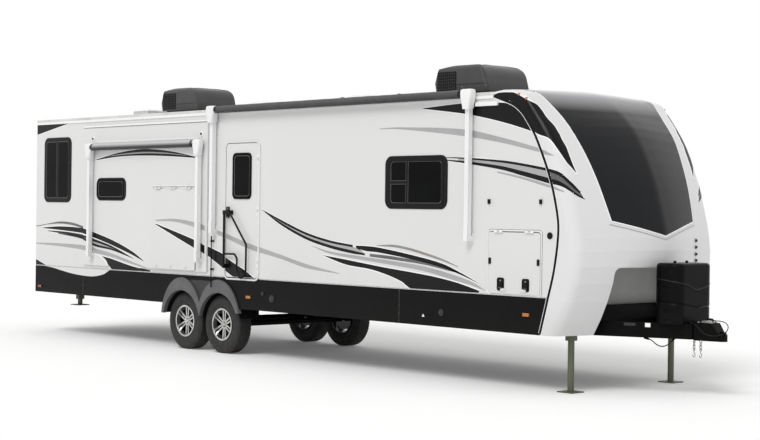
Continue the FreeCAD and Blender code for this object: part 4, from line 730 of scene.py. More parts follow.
def makeAwningCloth(name, look):
    low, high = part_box(look["roller"])
    x0, x1 = low[0] + look["inset"], high[0] - look["inset"]
    middleY, middleZ = (low[1] + high[1]) / 2, (low[2] + high[2]) / 2
    radius = (high[2] - low[2]) / 2 + 0.0015
    railY, railZ = look["rail"]
    path = [(railY, railZ)]
    strip, ring, across = clothSize["strip"], clothSize["sides"], clothSize["across"]
    for i in range(1, strip):
        t = i / strip
        sag = clothSize["sag"] * math.sin(math.pi * t)
        path.append((railY + (middleY + radius - railY) * t, railZ + (middleZ - railZ) * t - sag))
    for i in range(int(ring * clothSize["turns"]) + 1):
        a = 2 * math.pi * i / ring
        r = radius + clothSize["layer"] * i / ring
        path.append((middleY + r * math.cos(a), middleZ + r * math.sin(a)))
    bm = bmesh.new()
    grid = []
    for i in range(across + 1):
        x = x0 + (x1 - x0) * i / across
        slack = 0.0006 * math.sin(i * 1.7) + 0.0005 * math.sin(i * 0.6 + 1)
        grid.append([bm.verts.new((x, y, z - slack * (k > strip))) for k, (y, z) in enumerate(path)])
    for a, b in zip(grid, grid[1:]):
        for k in range(len(path) - 1):
            bm.faces.new((a[k], b[k], b[k + 1], a[k + 1]))
    cloth = addPiece(name, bm, look["finish"], None, 60)
    thick = cloth.modifiers.new("thick", "SOLIDIFY")
    thick.thickness = clothSize["thick"]
    thick.offset = 0
    mesh = meshOf(cloth)
    cloth.modifiers.clear()
    cloth.data = mesh
    fixed, moving = look["joint"]
    length = sum(math.dist(a, b) for a, b in zip(path, path[1:]))
    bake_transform(cloth)


for name, look in awningCloths.items():
    makeAwningCloth(name, look)
print("awning cloths")


# stripes on the walls and the front moulding, rows are (along, upper edge, lower edge)

wallFace, slideFace, hatchFace, doorFace = 1.22, 1.245, 1.268, 1.228
slideLow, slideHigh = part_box("slide_room_right")
hatchLow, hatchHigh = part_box("kitchen_hatch")
frameLow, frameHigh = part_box("door_frame")
leafLow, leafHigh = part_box("entry_door")
farLow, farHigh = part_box("slide_room_left")
wallLow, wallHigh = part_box("side_wall_right")
wallFoot, wallTop = wallLow[2] + 0.004, wallHigh[2] - 0.004
tubTop, lidTop = 2.236, 2.204  # upper edges of the kitchen tub and of its lid

panels = {  # flat parts of each side: body, face, from and to along the wall, from and to in height
    -1: [("root", wallFace, wallLow[0], slideLow[0] - 0.002, wallFoot, wallTop),
         ("root", wallFace, slideLow[0], slideHigh[0], wallFoot, slideLow[2] - 0.002),
         ("slide_room_right", slideFace, slideLow[0] + 0.002, slideHigh[0] - 0.042, tubTop, slideHigh[2]),
         ("slide_room_right", slideFace, slideLow[0] + 0.002, hatchLow[0] - 0.004, slideLow[2], tubTop),
         ("kitchen_hatch", hatchFace, hatchLow[0] + 0.003, hatchHigh[0] - 0.003, hatchLow[2] + 0.003, lidTop),
         ("slide_room_right", slideFace, hatchHigh[0] + 0.004, slideHigh[0] - 0.042, slideLow[2], tubTop),
         ("root", wallFace, slideHigh[0] + 0.002, frameLow[0] - 0.002, wallFoot, wallTop),
         ("entry_door", doorFace, leafLow[0] + 0.003, leafHigh[0] - 0.012, leafLow[2] + 0.006, leafHigh[2]),
         ("root", wallFace, frameHigh[0] + 0.002, wallHigh[0], wallFoot, wallTop)],
    1: [("root", wallFace, wallLow[0], farLow[0] - 0.002, wallFoot, wallTop),
        ("root", wallFace, farLow[0], farHigh[0], wallFoot, farLow[2] - 0.002),
        ("slide_room_left", slideFace, farLow[0] + 0.002, farHigh[0] - 0.002, farLow[2], farHigh[2]),
        ("root", wallFace, farHigh[0] + 0.002, wallHigh[0], wallFoot, wallTop)],
}

stripes = {
    "topBlade": {"finish": "stripeBlack", "edge": 0.01, "rows": [
        (2.66, 3.13, 3.124), (3.28, 3.16, 3.05), (3.5, 3.158, 3.015), (3.76, 3.15, 2.966),
        (4.02, 3.128, 2.908), (4.16, 3.05, 2.872), (4.365, 2.85, 2.816)]},
    "topSweep": {"finish": "stripeGrey", "rows": [
        (1.93, 2.918, 2.908), (2.28, 2.92, 2.898), (3.34, 2.866, 2.79), (3.92, 2.76, 2.702),
        (4.475, 2.632, 2.59)]},
    "bandUpper": {"finish": "stripeBlack", "rows": [
        (3.02, 2.557, 2.551), (3.34, 2.549, 2.533), (3.92, 2.509, 2.484), (4.23, 2.472, 2.444),
        (4.575, 2.418, 2.388)]},
    "bandFill": {"finish": "stripeGrey", "edge": 0.014, "rows": [
        (3.25, 2.54, 2.5), (3.6, 2.53, 2.474), (3.92, 2.495, 2.425), (4.23, 2.46, 2.362),
        (4.6, 2.4, 2.28)]},
    "bandLower": {"finish": "stripeBlack", "rows": [
        (3.05, 2.53, 2.521), (3.34, 2.51, 2.486), (3.92, 2.446, 2.406), (4.23, 2.388, 2.338),
        (4.625, 2.308, 2.25)]},
    "bandThin": {"finish": "stripeGrey", "rows": [
        (3.86, 2.388, 2.372), (4.23, 2.326, 2.3), (4.655, 2.23, 2.2)]},
    "sweepFill": {"finish": "stripeGrey", "edge": 0.01, "rows": [
        (-0.31, 1.932, 1.928), (0.1, 1.796, 1.735), (0.58, 1.652, 1.572), (1.04, 1.562, 1.474),
        (1.4, 1.52, 1.43), (1.66, 1.44, 1.402)]},
    "sweepUpper": {"finish": "stripeBlack", "rows": [
        (-0.31, 1.934, 1.926), (0.1, 1.8, 1.77), (0.58, 1.656, 1.625), (1.04, 1.566, 1.536),
        (1.47, 1.518, 1.49)]},
    "sweepLower": {"finish": "stripeBlack", "rows": [
        (-0.25, 1.904, 1.896), (0.1, 1.764, 1.732), (0.58, 1.604, 1.568), (1.04, 1.508, 1.47),
        (1.46, 1.452, 1.414), (1.69, 1.42, 1.398)]},
    "tailUpper": {"finish": "stripeBlack", "edge": 0.01, "rows": [
        (1.53, 1.512, 1.486), (1.7, 1.511, 1.452), (1.92, 1.5, 1.44), (2.47, 1.432, 1.38),
        (3.0, 1.346, 1.3), (3.31, 1.25, 1.226), (3.6, 1.142, 1.138)]},
    "tailLower": {"finish": "stripeDark", "rows": [
        (1.78, 1.42, 1.386), (2.2, 1.4, 1.36), (2.74, 1.35, 1.318), (3.26, 1.262, 1.244)]},
    "crest": {"finish": "stripeBrown", "rows": [
        (1.9, 1.524, 1.516), (2.19, 1.538, 1.51), (2.47, 1.508, 1.478), (2.73, 1.46, 1.43),
        (3.0, 1.4, 1.376), (3.27, 1.318, 1.31)]},
    "underSweep": {"finish": "stripeGrey", "rows": [
        (0.7, 1.488, 1.484), (1.04, 1.43, 1.402), (1.63, 1.384, 1.344), (2.2, 1.344, 1.296),
        (2.74, 1.298, 1.242), (3.26, 1.208, 1.152), (3.51, 1.147, 1.108), (3.7, 1.066, 1.062)]},
    "lowBlade": {"finish": "stripeBlack", "edge": 0.012, "rows": [
        (0.92, 1.378, 1.374), (1.34, 1.338, 1.278), (1.78, 1.292, 1.236), (2.06, 1.264, 1.186),
        (2.34, 1.24, 1.11), (2.5, 1.226, 1.036), (2.87, 1.19, 1.036), (3.26, 1.134, 1.036),
        (3.6, 1.06, 1.036)]},
    "midSweep": {"finish": "stripeGrey", "rows": [
        (-2.64, 1.772, 1.752), (-2.18, 1.789, 1.75), (-1.7, 1.745, 1.678), (-1.39, 1.671, 1.609),
        (-1.1, 1.615, 1.555), (-0.55, 1.485, 1.414), (0.11, 1.354, 1.303), (0.59, 1.258, 1.208),
        (1.23, 1.165, 1.157)]},
    "midBlade": {"finish": "stripeBlack", "edge": 0.012, "rows": [
        (-2.64, 1.718, 1.704), (-2.18, 1.616, 1.55), (-1.69, 1.502, 1.386), (-1.52, 1.44, 1.322),
        (-1.16, 1.341, 1.16), (-1.07, 1.294, 1.115), (-0.87, 1.216, 1.036), (-0.655, 1.136, 1.036),
        (-0.46, 1.044, 1.036)]},
    "rearThin": {"finish": "stripeDark", "rows": [(-5.945, 1.637, 1.625), (-5.66, 1.666, 1.656)]},
    "rearCrest": {"finish": "stripeDark", "rows": [
        (-5.66, 1.668, 1.66), (-5.24, 1.712, 1.68), (-4.89, 1.698, 1.66), (-4.6, 1.65, 1.616)]},
    "rearBlade": {"finish": "stripeBlack", "edge": 0.01, "rows": [
        (-5.74, 1.614, 1.602), (-5.24, 1.638, 1.582), (-4.6, 1.622, 1.546), (-4.41, 1.594, 1.518),
        (-3.78, 1.464, 1.388), (-3.25, 1.311, 1.26), (-2.95, 1.182, 1.174)]},
    "rearFill": {"finish": "stripeGrey", "edge": 0.008, "rows": [
        (-5.59, 1.566, 1.562), (-5.09, 1.55, 1.511), (-4.6, 1.513, 1.467), (-4.41, 1.486, 1.427),
        (-4.22, 1.453, 1.371), (-3.78, 1.367, 1.322), (-3.21, 1.207, 1.203)]},
    "rearFillTop": {"finish": "stripeBlack", "rows": [
        (-5.6, 1.57, 1.56), (-5.09, 1.558, 1.526), (-4.6, 1.522, 1.485), (-4.22, 1.461, 1.424),
        (-3.78, 1.375, 1.344), (-3.21, 1.21, 1.202)]},
    "rearFillFoot": {"finish": "stripeBlack", "rows": [
        (-5.3, 1.536, 1.526), (-4.6, 1.486, 1.456), (-4.22, 1.394, 1.36), (-3.78, 1.34, 1.314),
        (-3.28, 1.228, 1.22)]},
    "rearSweep": {"finish": "stripeGrey", "rows": [
        (-5.945, 1.375, 1.358), (-5.23, 1.38, 1.334), (-4.47, 1.362, 1.291), (-4.22, 1.329, 1.261),
        (-3.78, 1.266, 1.215), (-3.25, 1.164, 1.13), (-2.81, 1.076, 1.07)]},
    "rearFan": {"finish": "stripeBlack", "edge": 0.01, "rows": [
        (-4.03, 1.219, 1.215), (-3.92, 1.206, 1.154), (-3.82, 1.195, 1.04), (-3.25, 1.1, 1.036),
        (-2.83, 1.058, 1.036)]},
    "rearWedge": {"finish": "stripeBlack", "edge": 0.008, "rows": [
        (-5.945, 1.12, 1.036), (-5.67, 1.042, 1.036)]},
    "rearPeak": {"finish": "stripeBlack", "edge": 0.008, "rows": [
        (-5.945, 3.216, 3.048), (-4.97, 3.216, 3.208)]},
    "lensDark": {"finish": "stripeBlack", "edge": 0.01, "rows": [
        (-4.22, 2.64, 2.63), (-3.6, 2.732, 2.672), (-2.96, 2.768, 2.676), (-2.3, 2.722, 2.654),
        (-1.7, 2.632, 2.62)]},
    "lensFill": {"finish": "stripeGrey", "lift": 0.002, "rows": [
        (-3.95, 2.68, 2.677), (-3.5, 2.712, 2.698), (-2.96, 2.728, 2.707), (-2.4, 2.704, 2.69),
        (-1.95, 2.662, 2.659)]},
}
stripeLift = {"edge": 0.0006, "fill": 0.001, "line": 0.0014}


def trimmed(rows, x0, x1):
    # the rows between two places, with one made at each of them
    kept = [tuple(row) for row in rows if x0 < row[0] < x1]
    for a, b in zip(rows, rows[1:]):
        for x in (x0, x1):
            if a[0] < x <= b[0]:
                t = (x - a[0]) / (b[0] - a[0])
                kept.append(tuple(p + (q - p) * t for p, q in zip(a, b)))
    return sorted(kept)


def layStripe(name, rows, finish, lift, tag, side):
    # one skin for each panel that the stripe crosses
    for number, (body, face, x0, x1, z0, z1) in enumerate(panels[side]):
        cut = [(u, min(t, z1), max(b, z0)) for u, t, b in trimmed(rows, x0, x1) if t > z0 and b < z1]
        cut = [row for row in cut if row[1] - row[2] > 0.0005]
        if len(cut) > 1:
            decal = (addDecal, cut, onWall(side, face), 9, lift)
            makePiece(f"{name}_{tag}{number}", finish, body, decal, close=True)


for tag, side in sides.items():
    for name, look in stripes.items():
        rows = eased(look["rows"], 0.02)
        lift = stripeLift["line" if look["finish"] in ("stripeBlack", "stripeDark") else "fill"]
        layStripe(name, rows, look["finish"], look.get("lift", lift), tag, side)
        if "edge" in look:
            wide = [(u, top + look["edge"], bottom - look["edge"]) for u, top, bottom in rows]
            layStripe(name + "Edge", wide, "stripeWhite", stripeLift["edge"], tag, side)
print("stripes on the walls")

capTree = surfaceOf("front_cap")


def onCapSide(side):
    def place(x, z):
        point, normal, *_ = capTree.ray_cast(Vector((x, side * 3, z)), Vector((0, -side, 0)))
        if point is None:
            return Vector((x, side * 1.2, z)), Vector((0, side, 0))
        return point, normal if normal.y * side > 0 else -normal
    return place


frontAim = {"x": 3.8, "z": 1.6, "reach": 4}  # the front moulding is scanned round this line


def onCapFront(y, angle):
    turn = math.radians(angle)
    out = Vector((math.cos(turn), 0, math.sin(turn)))
    middle = Vector((frontAim["x"], y, frontAim["z"]))
    point, normal, *_ = capTree.ray_cast(middle + out * frontAim["reach"], -out)
    if point is None:
        return middle + out, out
    return point, normal if normal.dot(out) > 0 else -normal


capStripes = {
    "sidePanel": {"finish": "stripeBlack", "edge": 0.014, "edgeFrom": 4.4, "lift": 0.0032, "rows": [
        (3.8, 3.246, 3.232), (3.87, 3.262, 3.204), (4.0, 3.262, 3.152), (4.12, 3.246, 3.118),
        (4.33, 3.134, 2.915), (4.41, 3.052, 2.8), (4.46, 2.992, 2.774), (4.59, 2.836, 2.722),
        (4.7, 2.655, 2.58), (4.76, 2.53, 2.482), (4.84, 2.352, 2.346)]},
    "sideTip": {"finish": "stripeGrey", "rows": [
        (4.45, 2.637, 2.592), (4.56, 2.6, 2.562), (4.66, 2.553, 2.549)]},
    "bandTip": {"finish": "stripeDark", "edge": 0.012, "rows": [
        (4.6, 2.412, 2.282), (4.75, 2.366, 2.23), (4.84, 2.268, 2.184), (4.9, 2.162, 2.126),
        (4.93, 2.09, 2.084)]},
    "bandTipHigh": {"finish": "stripeBlack", "lift": 0.0036, "rows": [
        (4.6, 2.414, 2.384), (4.75, 2.368, 2.33), (4.84, 2.27, 2.24), (4.9, 2.164, 2.148)]},
    "bandTipLow": {"finish": "stripeBlack", "lift": 0.0036, "rows": [
        (4.63, 2.306, 2.25), (4.75, 2.276, 2.229), (4.84, 2.212, 2.183), (4.93, 2.092, 2.084)]},
    "bandThinTip": {"finish": "stripeGrey", "rows": [(4.66, 2.23, 2.2), (4.81, 2.172, 2.16)]},
}
for tag, side in sides.items():
    place = onCapSide(side)
    for name, look in capStripes.items():
        rows = eased(look["rows"], 0.015)
        lift = look.get("lift", 0.0026)
        if "edge" in look:
            upper = [place(u, top) for u, top, low in rows]
            lower = [place(u, low) for u, top, low in rows if u > look.get("edgeFrom", 0)]
            makePiece(f"{name}Edge_{tag}", "stripeWhite", "root",
                      (addRibbon, upper, look["edge"], lift + 0.0006),
                      (addRibbon, lower, look["edge"], lift + 0.0006), degrees=50)
        makePiece(f"{name}_{tag}", look["finish"], "root", (addDecal, rows, place, 0.02, lift), close=True)

frontPanel = {"halfWidth": [(0.0, 4.0), (0.36, 7.7), (0.723, 11.5), (0.762, 21.9), (0.8, 33.0), (0.84, 44.0),
                            (0.881, 52.7), (0.915, 63.9), (0.953, 69.5), (1.003, 75.4), (1.02, 80.0)],
              "topAngle": 86, "columns": 150, "underWidth": 0.75, "underStart": 2.5, "underRise": 7.4}


def lowerAngle(y):
    # lower edge of the panel as an angle, at a distance from the middle
    pairs = frontPanel["halfWidth"]
    for (a, va), (b, vb) in zip(pairs, pairs[1:]):
        if abs(y) <= b:
            return va + (vb - va) * (abs(y) - a) / (b - a)
    return pairs[-1][1]


limit = frontPanel["halfWidth"][-1][0]
places = [-limit + 2 * limit * i / frontPanel["columns"] for i in range(frontPanel["columns"] + 1)]
rows = [(y, frontPanel["topAngle"], lowerAngle(y)) for y in places]
edge = [onCapFront(y, low - 0.1) for y, top, low in rows[1:-1]]
makePiece("frontPanel", "panelBlack", "root", (addDecal, rows, onCapFront, 0.8, 0.0045, 0.002),
          close=True, degrees=50)
makePiece("frontPanelEdge", "stripeWhite", "root", (addRibbon, edge, 0.013, 0.0055), degrees=50)
under = frontPanel["underWidth"]
line = [onCapFront(u, frontPanel["underStart"] + frontPanel["underRise"] * abs(u) / under)
        for u in [-under + 2 * under * i / 60 for i in range(61)]]
makePiece("frontPanelUnderline", "stripeGrey", "root", (addRibbon, line, 0.01, 0.003))
print("stripes on the front")


# trims along the seams

# painted highlight: the white band either side of the black seam trim is the light line along the trim's edge
seam = {"line": [(3.224, 3.789), (3.104, 4.117), (2.887, 4.334), (2.646, 4.478), (2.333, 4.622),
                 (2.048, 4.712), (1.769, 4.758), (1.348, 4.708), (0.982, 4.611), (0.638, 4.515)],
        "layers": {"seamEdge": (0.046, 0.0016, "stripeWhite"), "seamTrim": (0.03, 0.0045, "sealBlack")}}
for tag, side in sides.items():
    lay = onWall(side, wallFace)
    spots = [lay(row[1], -row[0]) for row in eased([(-z, x) for z, x in seam["line"]], 0.03)]
    for name, (width, lift, finish) in seam["layers"].items():
        makePiece(f"{name}_{tag}", finish, "root", (addRibbon, spots, width, lift, 0.0005))
print("seam trims")


# windows: a lighter bead between frame and glass, its grey a painted highlight on the frame lip, with posts
# and bars, and flanges outside the frames

paneFace = {"wall": 1.226, "slide": 1.251, "door": 1.234, "rear": -5.961}
bedroom = {"low": (2.138, 2.028), "high": (2.994, 2.52), "posts": [(2.402, 2.434)],
           "bars": [(2.138, 2.402, 2.256, 2.29)]}
rearSide = {"low": (-5.654, 2.068), "high": (-5.026, 2.928), "posts": [(-5.358, -5.322)]}
windowBeadHighlights = {
    "bedroomRight": dict(bedroom, lay=onSide(-1, paneFace["wall"])),
    "bedroomLeft": dict(bedroom, lay=onSide(1, paneFace["wall"])),
    "rearSideRight": dict(rearSide, lay=onSide(-1, paneFace["wall"])),
    "rearSideLeft": dict(rearSide, lay=onSide(1, paneFace["wall"])),
    "kitchen": {"low": (-4.144, 2.088), "high": (-3.504, 2.316), "lay": onSide(-1, paneFace["slide"]),
                "body": "slide_room_right"},
    "sofaRear": {"low": (-1.864, 1.99), "high": (-1.032, 2.51), "lay": onSide(1, paneFace["slide"]),
                 "body": "slide_room_left"},
    "sofaFront": {"low": (0.136, 1.99), "high": (0.968, 2.51), "lay": onSide(1, paneFace["slide"]),
                  "body": "slide_room_left"},
    "door": {"low": (-0.888, 2.104), "high": (-0.56, 2.64), "lay": onSide(-1, paneFace["door"]),
             "body": "entry_door"},
    "rear": {"low": (-0.405, 2.045), "high": (0.405, 2.515), "lay": onRear(paneFace["rear"])},
}
beadSize = {"corner": 0.05, "width": 0.009, "lift": 0.0035, "post": 0.006, "over": 0.001}
for name, look in windowBeadHighlights.items():
    (u0, v0), (u1, v1) = look["low"], look["high"]
    wide, post, over = beadSize["width"], beadSize["post"], beadSize["over"]
    pads = [((u, v0 + wide), (u + post, v1 - wide)) for a, b in look.get("posts", []) for u in (a - post, b)]
    pads += [((a + wide, v), (b - post, v + post)) for a, b, low, high in look.get("bars", [])
             for v in (low - post, high)]
    ring = (addRing, (u0 - over, v0 - over), (u1 + over, v1 + over), beadSize["corner"], wide, look["lay"],
            beadSize["lift"], 0.001)
    makePiece("bead_" + name, "beadGrey", look.get("body", "root"), ring,
              *[(addPad, low, high, 0.0015, look["lay"], beadSize["lift"], 0.001) for low, high in pads])

windowFlanges = {
    "bedroom": ((2.04, 1.962), (3.085, 2.584), 0.105, 0.072, "root", wallFace, sides),
    "rearSide": ((-5.716, 2.004), (-4.944, 2.99), 0.105, 0.062, "root", wallFace, sides),
    "kitchen": ((-4.196, 2.036), (-3.426, 2.366), 0.1, 0.056, "slide_room_right", slideFace, ["right"]),
}
for name, (low, high, corner, width, body, face, tags) in windowFlanges.items():
    for tag in tags:
        makePiece(f"flange_{name}_{tag}", "frameBlack", body,
                  (addRing, low, high, corner, width, onSide(sides[tag], face), 0.01, 0.004))
print("window beads and flanges")


# awning heads: rounded caps over the arm ends, dark ring at each end of the roller

mainHead = {"body": "awning", "y": (-1.356, -1.246), "foot": 3.085, "top": 3.309, "half": 0.085,
            "neck": 0.052}
smallHead = {"body": "small_awning", "y": (-1.3655, -1.272), "foot": 2.655, "top": 2.872, "half": 0.082,
             "neck": 0.051}
awningHeads = {"awningHeadFront": (3.467, mainHead), "awningHeadRear": (-1.31, mainHead),
               "smallHeadFront": (-1.6, smallHead), "smallHeadRear": (-4.294, smallHead)}
headShape = [  # height, share of the widening, dip of the faces
    (0, 0, 0.004), (0.12, 0.05, 0.002), (0.35, 0.45, 0), (0.55, 0.9, 0), (0.75, 1, 0), (0.9, 0.92, 0.001),
    (0.97, None, 0.006), (1, None, 0.016)]
headTop = {0.97: 0.94, 1: 0.78}  # the width draws in again at the top
for name, (x, look) in awningHeads.items():
    (near, far), tall = look["y"], look["top"] - look["foot"]
    sections = []
    for t, share, dip in headShape:
        if t in headTop:
            half = look["half"] * headTop[t]
        else:
            half = look["neck"] + (look["half"] - look["neck"]) * share
        sections.append(((x - half, near + dip), (x + half, far - dip), 0.03, look["foot"] + tall * t))
    makePiece(name, "armWhite", look["body"], (addLoft, sections, onTop), degrees=50)

rollerEnds = {"depth": 0.045, "extra": 0.0035, "groove": 0.003}
for roller, body, inner in (("awning_roller", "awning", 0.036),
                            ("small_awning_roller", "small_awning", 0.034)):
    low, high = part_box(roller)
    y, z, radius = (low[1] + high[1]) / 2, (low[2] + high[2]) / 2, (high[2] - low[2]) / 2
    wide, deep = radius + rollerEnds["extra"], rollerEnds["depth"]
    profile = [(radius * 0.6, 0), (wide - 0.002, 0), (wide, 0.002), (wide, deep * 0.45),
               (wide - rollerEnds["groove"], deep * 0.5), (wide, deep * 0.55), (wide, deep - 0.002),
               (wide - 0.002, deep), (radius * 0.6, deep), (radius * 0.6, 0)]
    for end, x, out in (("Rear", low[0] + inner, 1), ("Front", high[0] - inner, -1)):
        makePiece(f"rollerEnd{end}_{body}", "sealBlack", body,
                  (addTurned, profile, (x, y, z), (out, 0, 0), 40), close=True)
print("awning heads")


# slide-out: top rails with a painted shadow under the near one, awning rail, awning cradles; hatch rail with
# a painted shadow under it, hatch outline

nearSlide, farSlide = onSide(-1, slideFace), onSide(1, slideFace)
slideRail = {"x": (-4.552, -1.478), "z": (3.112, 3.138), "lift": 0.012, "drip": 0.006}
(x0, x1), (z0, z1) = slideRail["x"], slideRail["z"]
hatchTrim = {"x": (-2.742, -1.714), "line": 2.2335, "rail": 2.2375, "top": 2.249, "foot": 1.094,
             "side": 0.0045}
hx0, hx1 = hatchTrim["x"]
slidePads = {  # body, finish, then each pad: from, to, corner, face, lift, soft edge
    "slideTopRail_right": ("slide_room_right", "trimWhite", [
        ((x0, z0), (x1, z1), 0.004, nearSlide, slideRail["lift"])]),
    # painted shadow: a grey strip just under the top rail for the shade it casts on the slide face
    "slideDrip_right": ("slide_room_right", "beadGrey", [
        ((x0 + 0.004, z0 - slideRail["drip"]), (x1 - 0.004, z0 + 0.002), 0.002, nearSlide, 0.007, 0.001)]),
    "slideTopRail_left": ("slide_room_left", "trimWhite", [
        ((farLow[0] + 0.005, z0), (farHigh[0] - 0.005, z1), 0.004, farSlide, slideRail["lift"] - 0.001)]),
    "smallAwningRail": ("slide_room_right", "trimWhite", [
        ((-4.225, 2.872), (-1.668, 2.902), 0.005, nearSlide, 0.01)]),
    "hatchRail": ("slide_room_right", "trimWhite", [
        ((hx0, hatchTrim["rail"]), (hx1, hatchTrim["top"]), 0.002, nearSlide, 0.003, 0.001)]),
    # the grey strip under the hatch rail is painted shadow; the two side strips are the seal lines beside the
    # lid
    "hatchSeal": ("slide_room_right", "beadGrey", [
        ((hx0, hatchTrim["line"]), (hx1, hatchTrim["rail"]), 0.001, nearSlide, 0.0022, 0.0005)] + [
        ((x, hatchTrim["foot"]), (x + hatchTrim["side"], 2.2325), 0.001, nearSlide, 0.0022, 0.0005)
        for x in (hatchLow[0] - 0.002 - hatchTrim["side"], hatchHigh[0] + 0.002)]),
}
for name, (body, finish, pads) in slidePads.items():
    makePiece(name, finish, body, *[(addPad, *pad) for pad in pads])

cradles = {"places": [(-4.299, 2.945), (-1.606, 2.948)], "base": 0.036, "knob": 0.017, "lift": 0.022}
base, knob, top = cradles["base"], cradles["knob"], cradles["lift"]
baseShape = [(0, 0), (base, 0), (base, 0.006), (base * 0.82, 0.012), (knob * 1.2, 0.014), (0, 0.014)]
knobShape = [(0, 0.0135), (knob, 0.0135), (knob * 1.05, 0.018), (knob * 0.8, top), (0, top + 0.001)]
for number, (x, z) in enumerate(cradles["places"]):
    at = (x, -slideFace, z)
    for name, finish, shape, count in (("Base", "trimWhite", baseShape, 28),
                                       ("Knob", "sealBlack", knobShape, 24)):
        makePiece(f"cradle{name}_{number}", finish, "slide_room_right",
                  (addTurned, shape, at, (0, -1, 0), count))
print("slide-out trims")


# luggage doors: raised rim with a painted shadow round it, corner catches, paddle latches

luggage = {"low": (3.727, 1.031), "high": (4.529, 1.746), "corner": 0.04, "width": 0.013, "lift": 0.008,
           "catches": [(3.77, 1.4), (4.486, 1.4)], "paddles": [(3.936, 1.148), (4.306, 1.148)]}
lockShape = [(0, 0.003), (0.0095, 0.003), (0.0095, 0.0075), (0.008, 0.0085), (0, 0.0085)]


def padAt(x, z, wide, down, rise, corner, lay, lift, soft):
    return addPad, (x - wide, z - down), (x + wide, z + rise), corner, lay, lift, soft


(u0, v0), (u1, v1) = luggage["low"], luggage["high"]
for tag, side in sides.items():
    wall, leaf = onSide(side, wallFace), onSide(side, doorFace)
    corner = luggage["corner"]
    rim = (addRing, (u0, v0), (u1, v1), corner, luggage["width"], wall, luggage["lift"], 0.003)
    makePiece("luggageRim_" + tag, "trimWhite", "root", rim)
    # painted shadow: a grey ring just outside the rim for the shade the rim casts
    low, high = (u0 - 0.005, v0 - 0.0005), (u1 + 0.005, v1 + 0.005)
    rimShadow = (addRing, low, high, corner + 0.005, 0.0045, wall, 0.002, 0.001)
    makePiece("luggageSeal_" + tag, "beadGrey", "root", rimShadow)
    catches = [padAt(x, z, 0.0165, 0.0345, 0.0345, 0.007, leaf, 0.0138, 0.004) for x, z in luggage["catches"]]
    locks = []
    for x, z in luggage["paddles"]:
        low, high = (x - 0.053, z - 0.072), (x + 0.053, z + 0.072)
        catches += [(addRing, low, high, 0.026, 0.013, leaf, 0.009, 0.003),
                    padAt(x, z, 0.042, 0.061, 0.061, 0.012, leaf, 0.0035, 0.001),
                    padAt(x, z, 0.033, 0.05, 0.02, 0.01, leaf, 0.0135, 0.003)]
        locks += [(addTurned, lockShape, (x, side * doorFace, z + 0.04), (0, side, 0), 20),
                  padAt(x, z, 0.024, 0.04, -0.036, 0.001, leaf, 0.0145, 0.0005)]
    makePiece("luggageCatches_" + tag, "frameBlack", "luggage_door_" + tag, *catches)
    makePiece("luggageLocks_" + tag, "steelZinc", "luggage_door_" + tag, *locks)
print("luggage doors")


# entry door: latch plate, locks, hinge strip with screws

doorParts = {"plate": ((-1.058, 1.815), (-0.985, 1.965)), "lever": ((-1.04, 1.85), (-1.0, 1.905)),
             "locks": [(-1.021, 1.938), (-1.021, 1.828)], "strip": ((-0.368, 1.1), (-0.354, 2.74)),
             "lock": [(0, 0.008), (0.0095, 0.008), (0.0095, 0.0118), (0.008, 0.013), (0, 0.013)]}
leaf = onSide(-1, doorFace)
makePiece("doorLatch", "frameBlack", "entry_door", (addPad, *doorParts["plate"], 0.014, leaf, 0.01, 0.003),
          (addPad, *doorParts["lever"], 0.008, leaf, 0.019, 0.004))
makePiece("doorLocks", "steelZinc", "entry_door",
          *[(addTurned, doorParts["lock"], (x, -doorFace, z), (0, -1, 0), 20) for x, z in doorParts["locks"]])
makePiece("doorHingeStrip", "trimWhite", "root",
          (addPad, *doorParts["strip"], 0.003, onSide(-1, 1.235), 0.004))
for name, x, y, foot, spacing, radius in (("doorHingeScrews", -0.361, -1.2395, 1.16, 0.14, 0.0042),
                                          ("doorFrameScrews", -1.088, -1.2355, 1.12, 0.22, 0.0035)):
    addScrews(name, [[(x, y, foot), (x, y, 2.7)]], spacing, (0, -1, 0), radius)
print("entry door")


# belt trim between wall and skirt, skirt joints, caps and dip

belt = {"z": (1.0222, 1.0362), "screwZ": 1.029, "lift": 0.003, "screw": 0.0035,
        "spans": {"right": [(-5.95, -1.11), (-0.34, 4.612)], "left": [(-5.95, 4.612)]}}
skirtParts = {"joints": {-4.586: 0.9, 2.3: 1.016}, "foot": 0.624, "jointWidth": 0.01,
              "caps": [(-0.082, 0.787, 0.048), (-0.27, 0.843, 0.025), (3.011, 0.785, 0.04)],
              "cap": [(0, -0.0005), (1.03, -0.0005), (1.03, 0.006), (0.97, 0.011), (0.8, 0.012),
                      (0.74, 0.009), (0.66, 0.014), (0.3, 0.018), (0, 0.019)]}
for tag, side in sides.items():
    wall, face, (z0, z1) = onSide(side, wallFace), side * (wallFace + belt["lift"]), belt["z"]
    makePiece("beltTrim_" + tag, "aluminiumRaw", "root",
              *[(addPad, (a, z0), (b, z1), 0.002, wall, belt["lift"]) for a, b in belt["spans"][tag]])
    addScrews("beltScrews_" + tag, [[(a + 0.03, face, belt["screwZ"]), (b - 0.03, face, belt["screwZ"])]
                                    for a, b in belt["spans"][tag]], 0.2, (0, side, 0), belt["screw"])
    joints, foot, wide = skirtParts["joints"].items(), skirtParts["foot"], skirtParts["jointWidth"]
    makePiece("skirtJoints_" + tag, "capGrey", "root",
              *[(addPad, (x, foot), (x + wide, top), 0.002, wall, 0.0025, 0.001) for x, top in joints])
    y = side * (wallFace + 0.0025)
    lines = [[(x + wide / 2, y, 0.65), (x + wide / 2, y, top - 0.015)] for x, top in joints]
    addScrews("skirtScrews_" + tag, lines, 0.085, (0, side, 0), 0.003)
makePiece("skirtCaps", "capGrey", "root", *[
    (addTurned, [(share * r, rise) for share, rise in skirtParts["cap"]], (x, -wallFace, z), (0, -1, 0), 36)
    for x, z, r in skirtParts["caps"]], close=True)

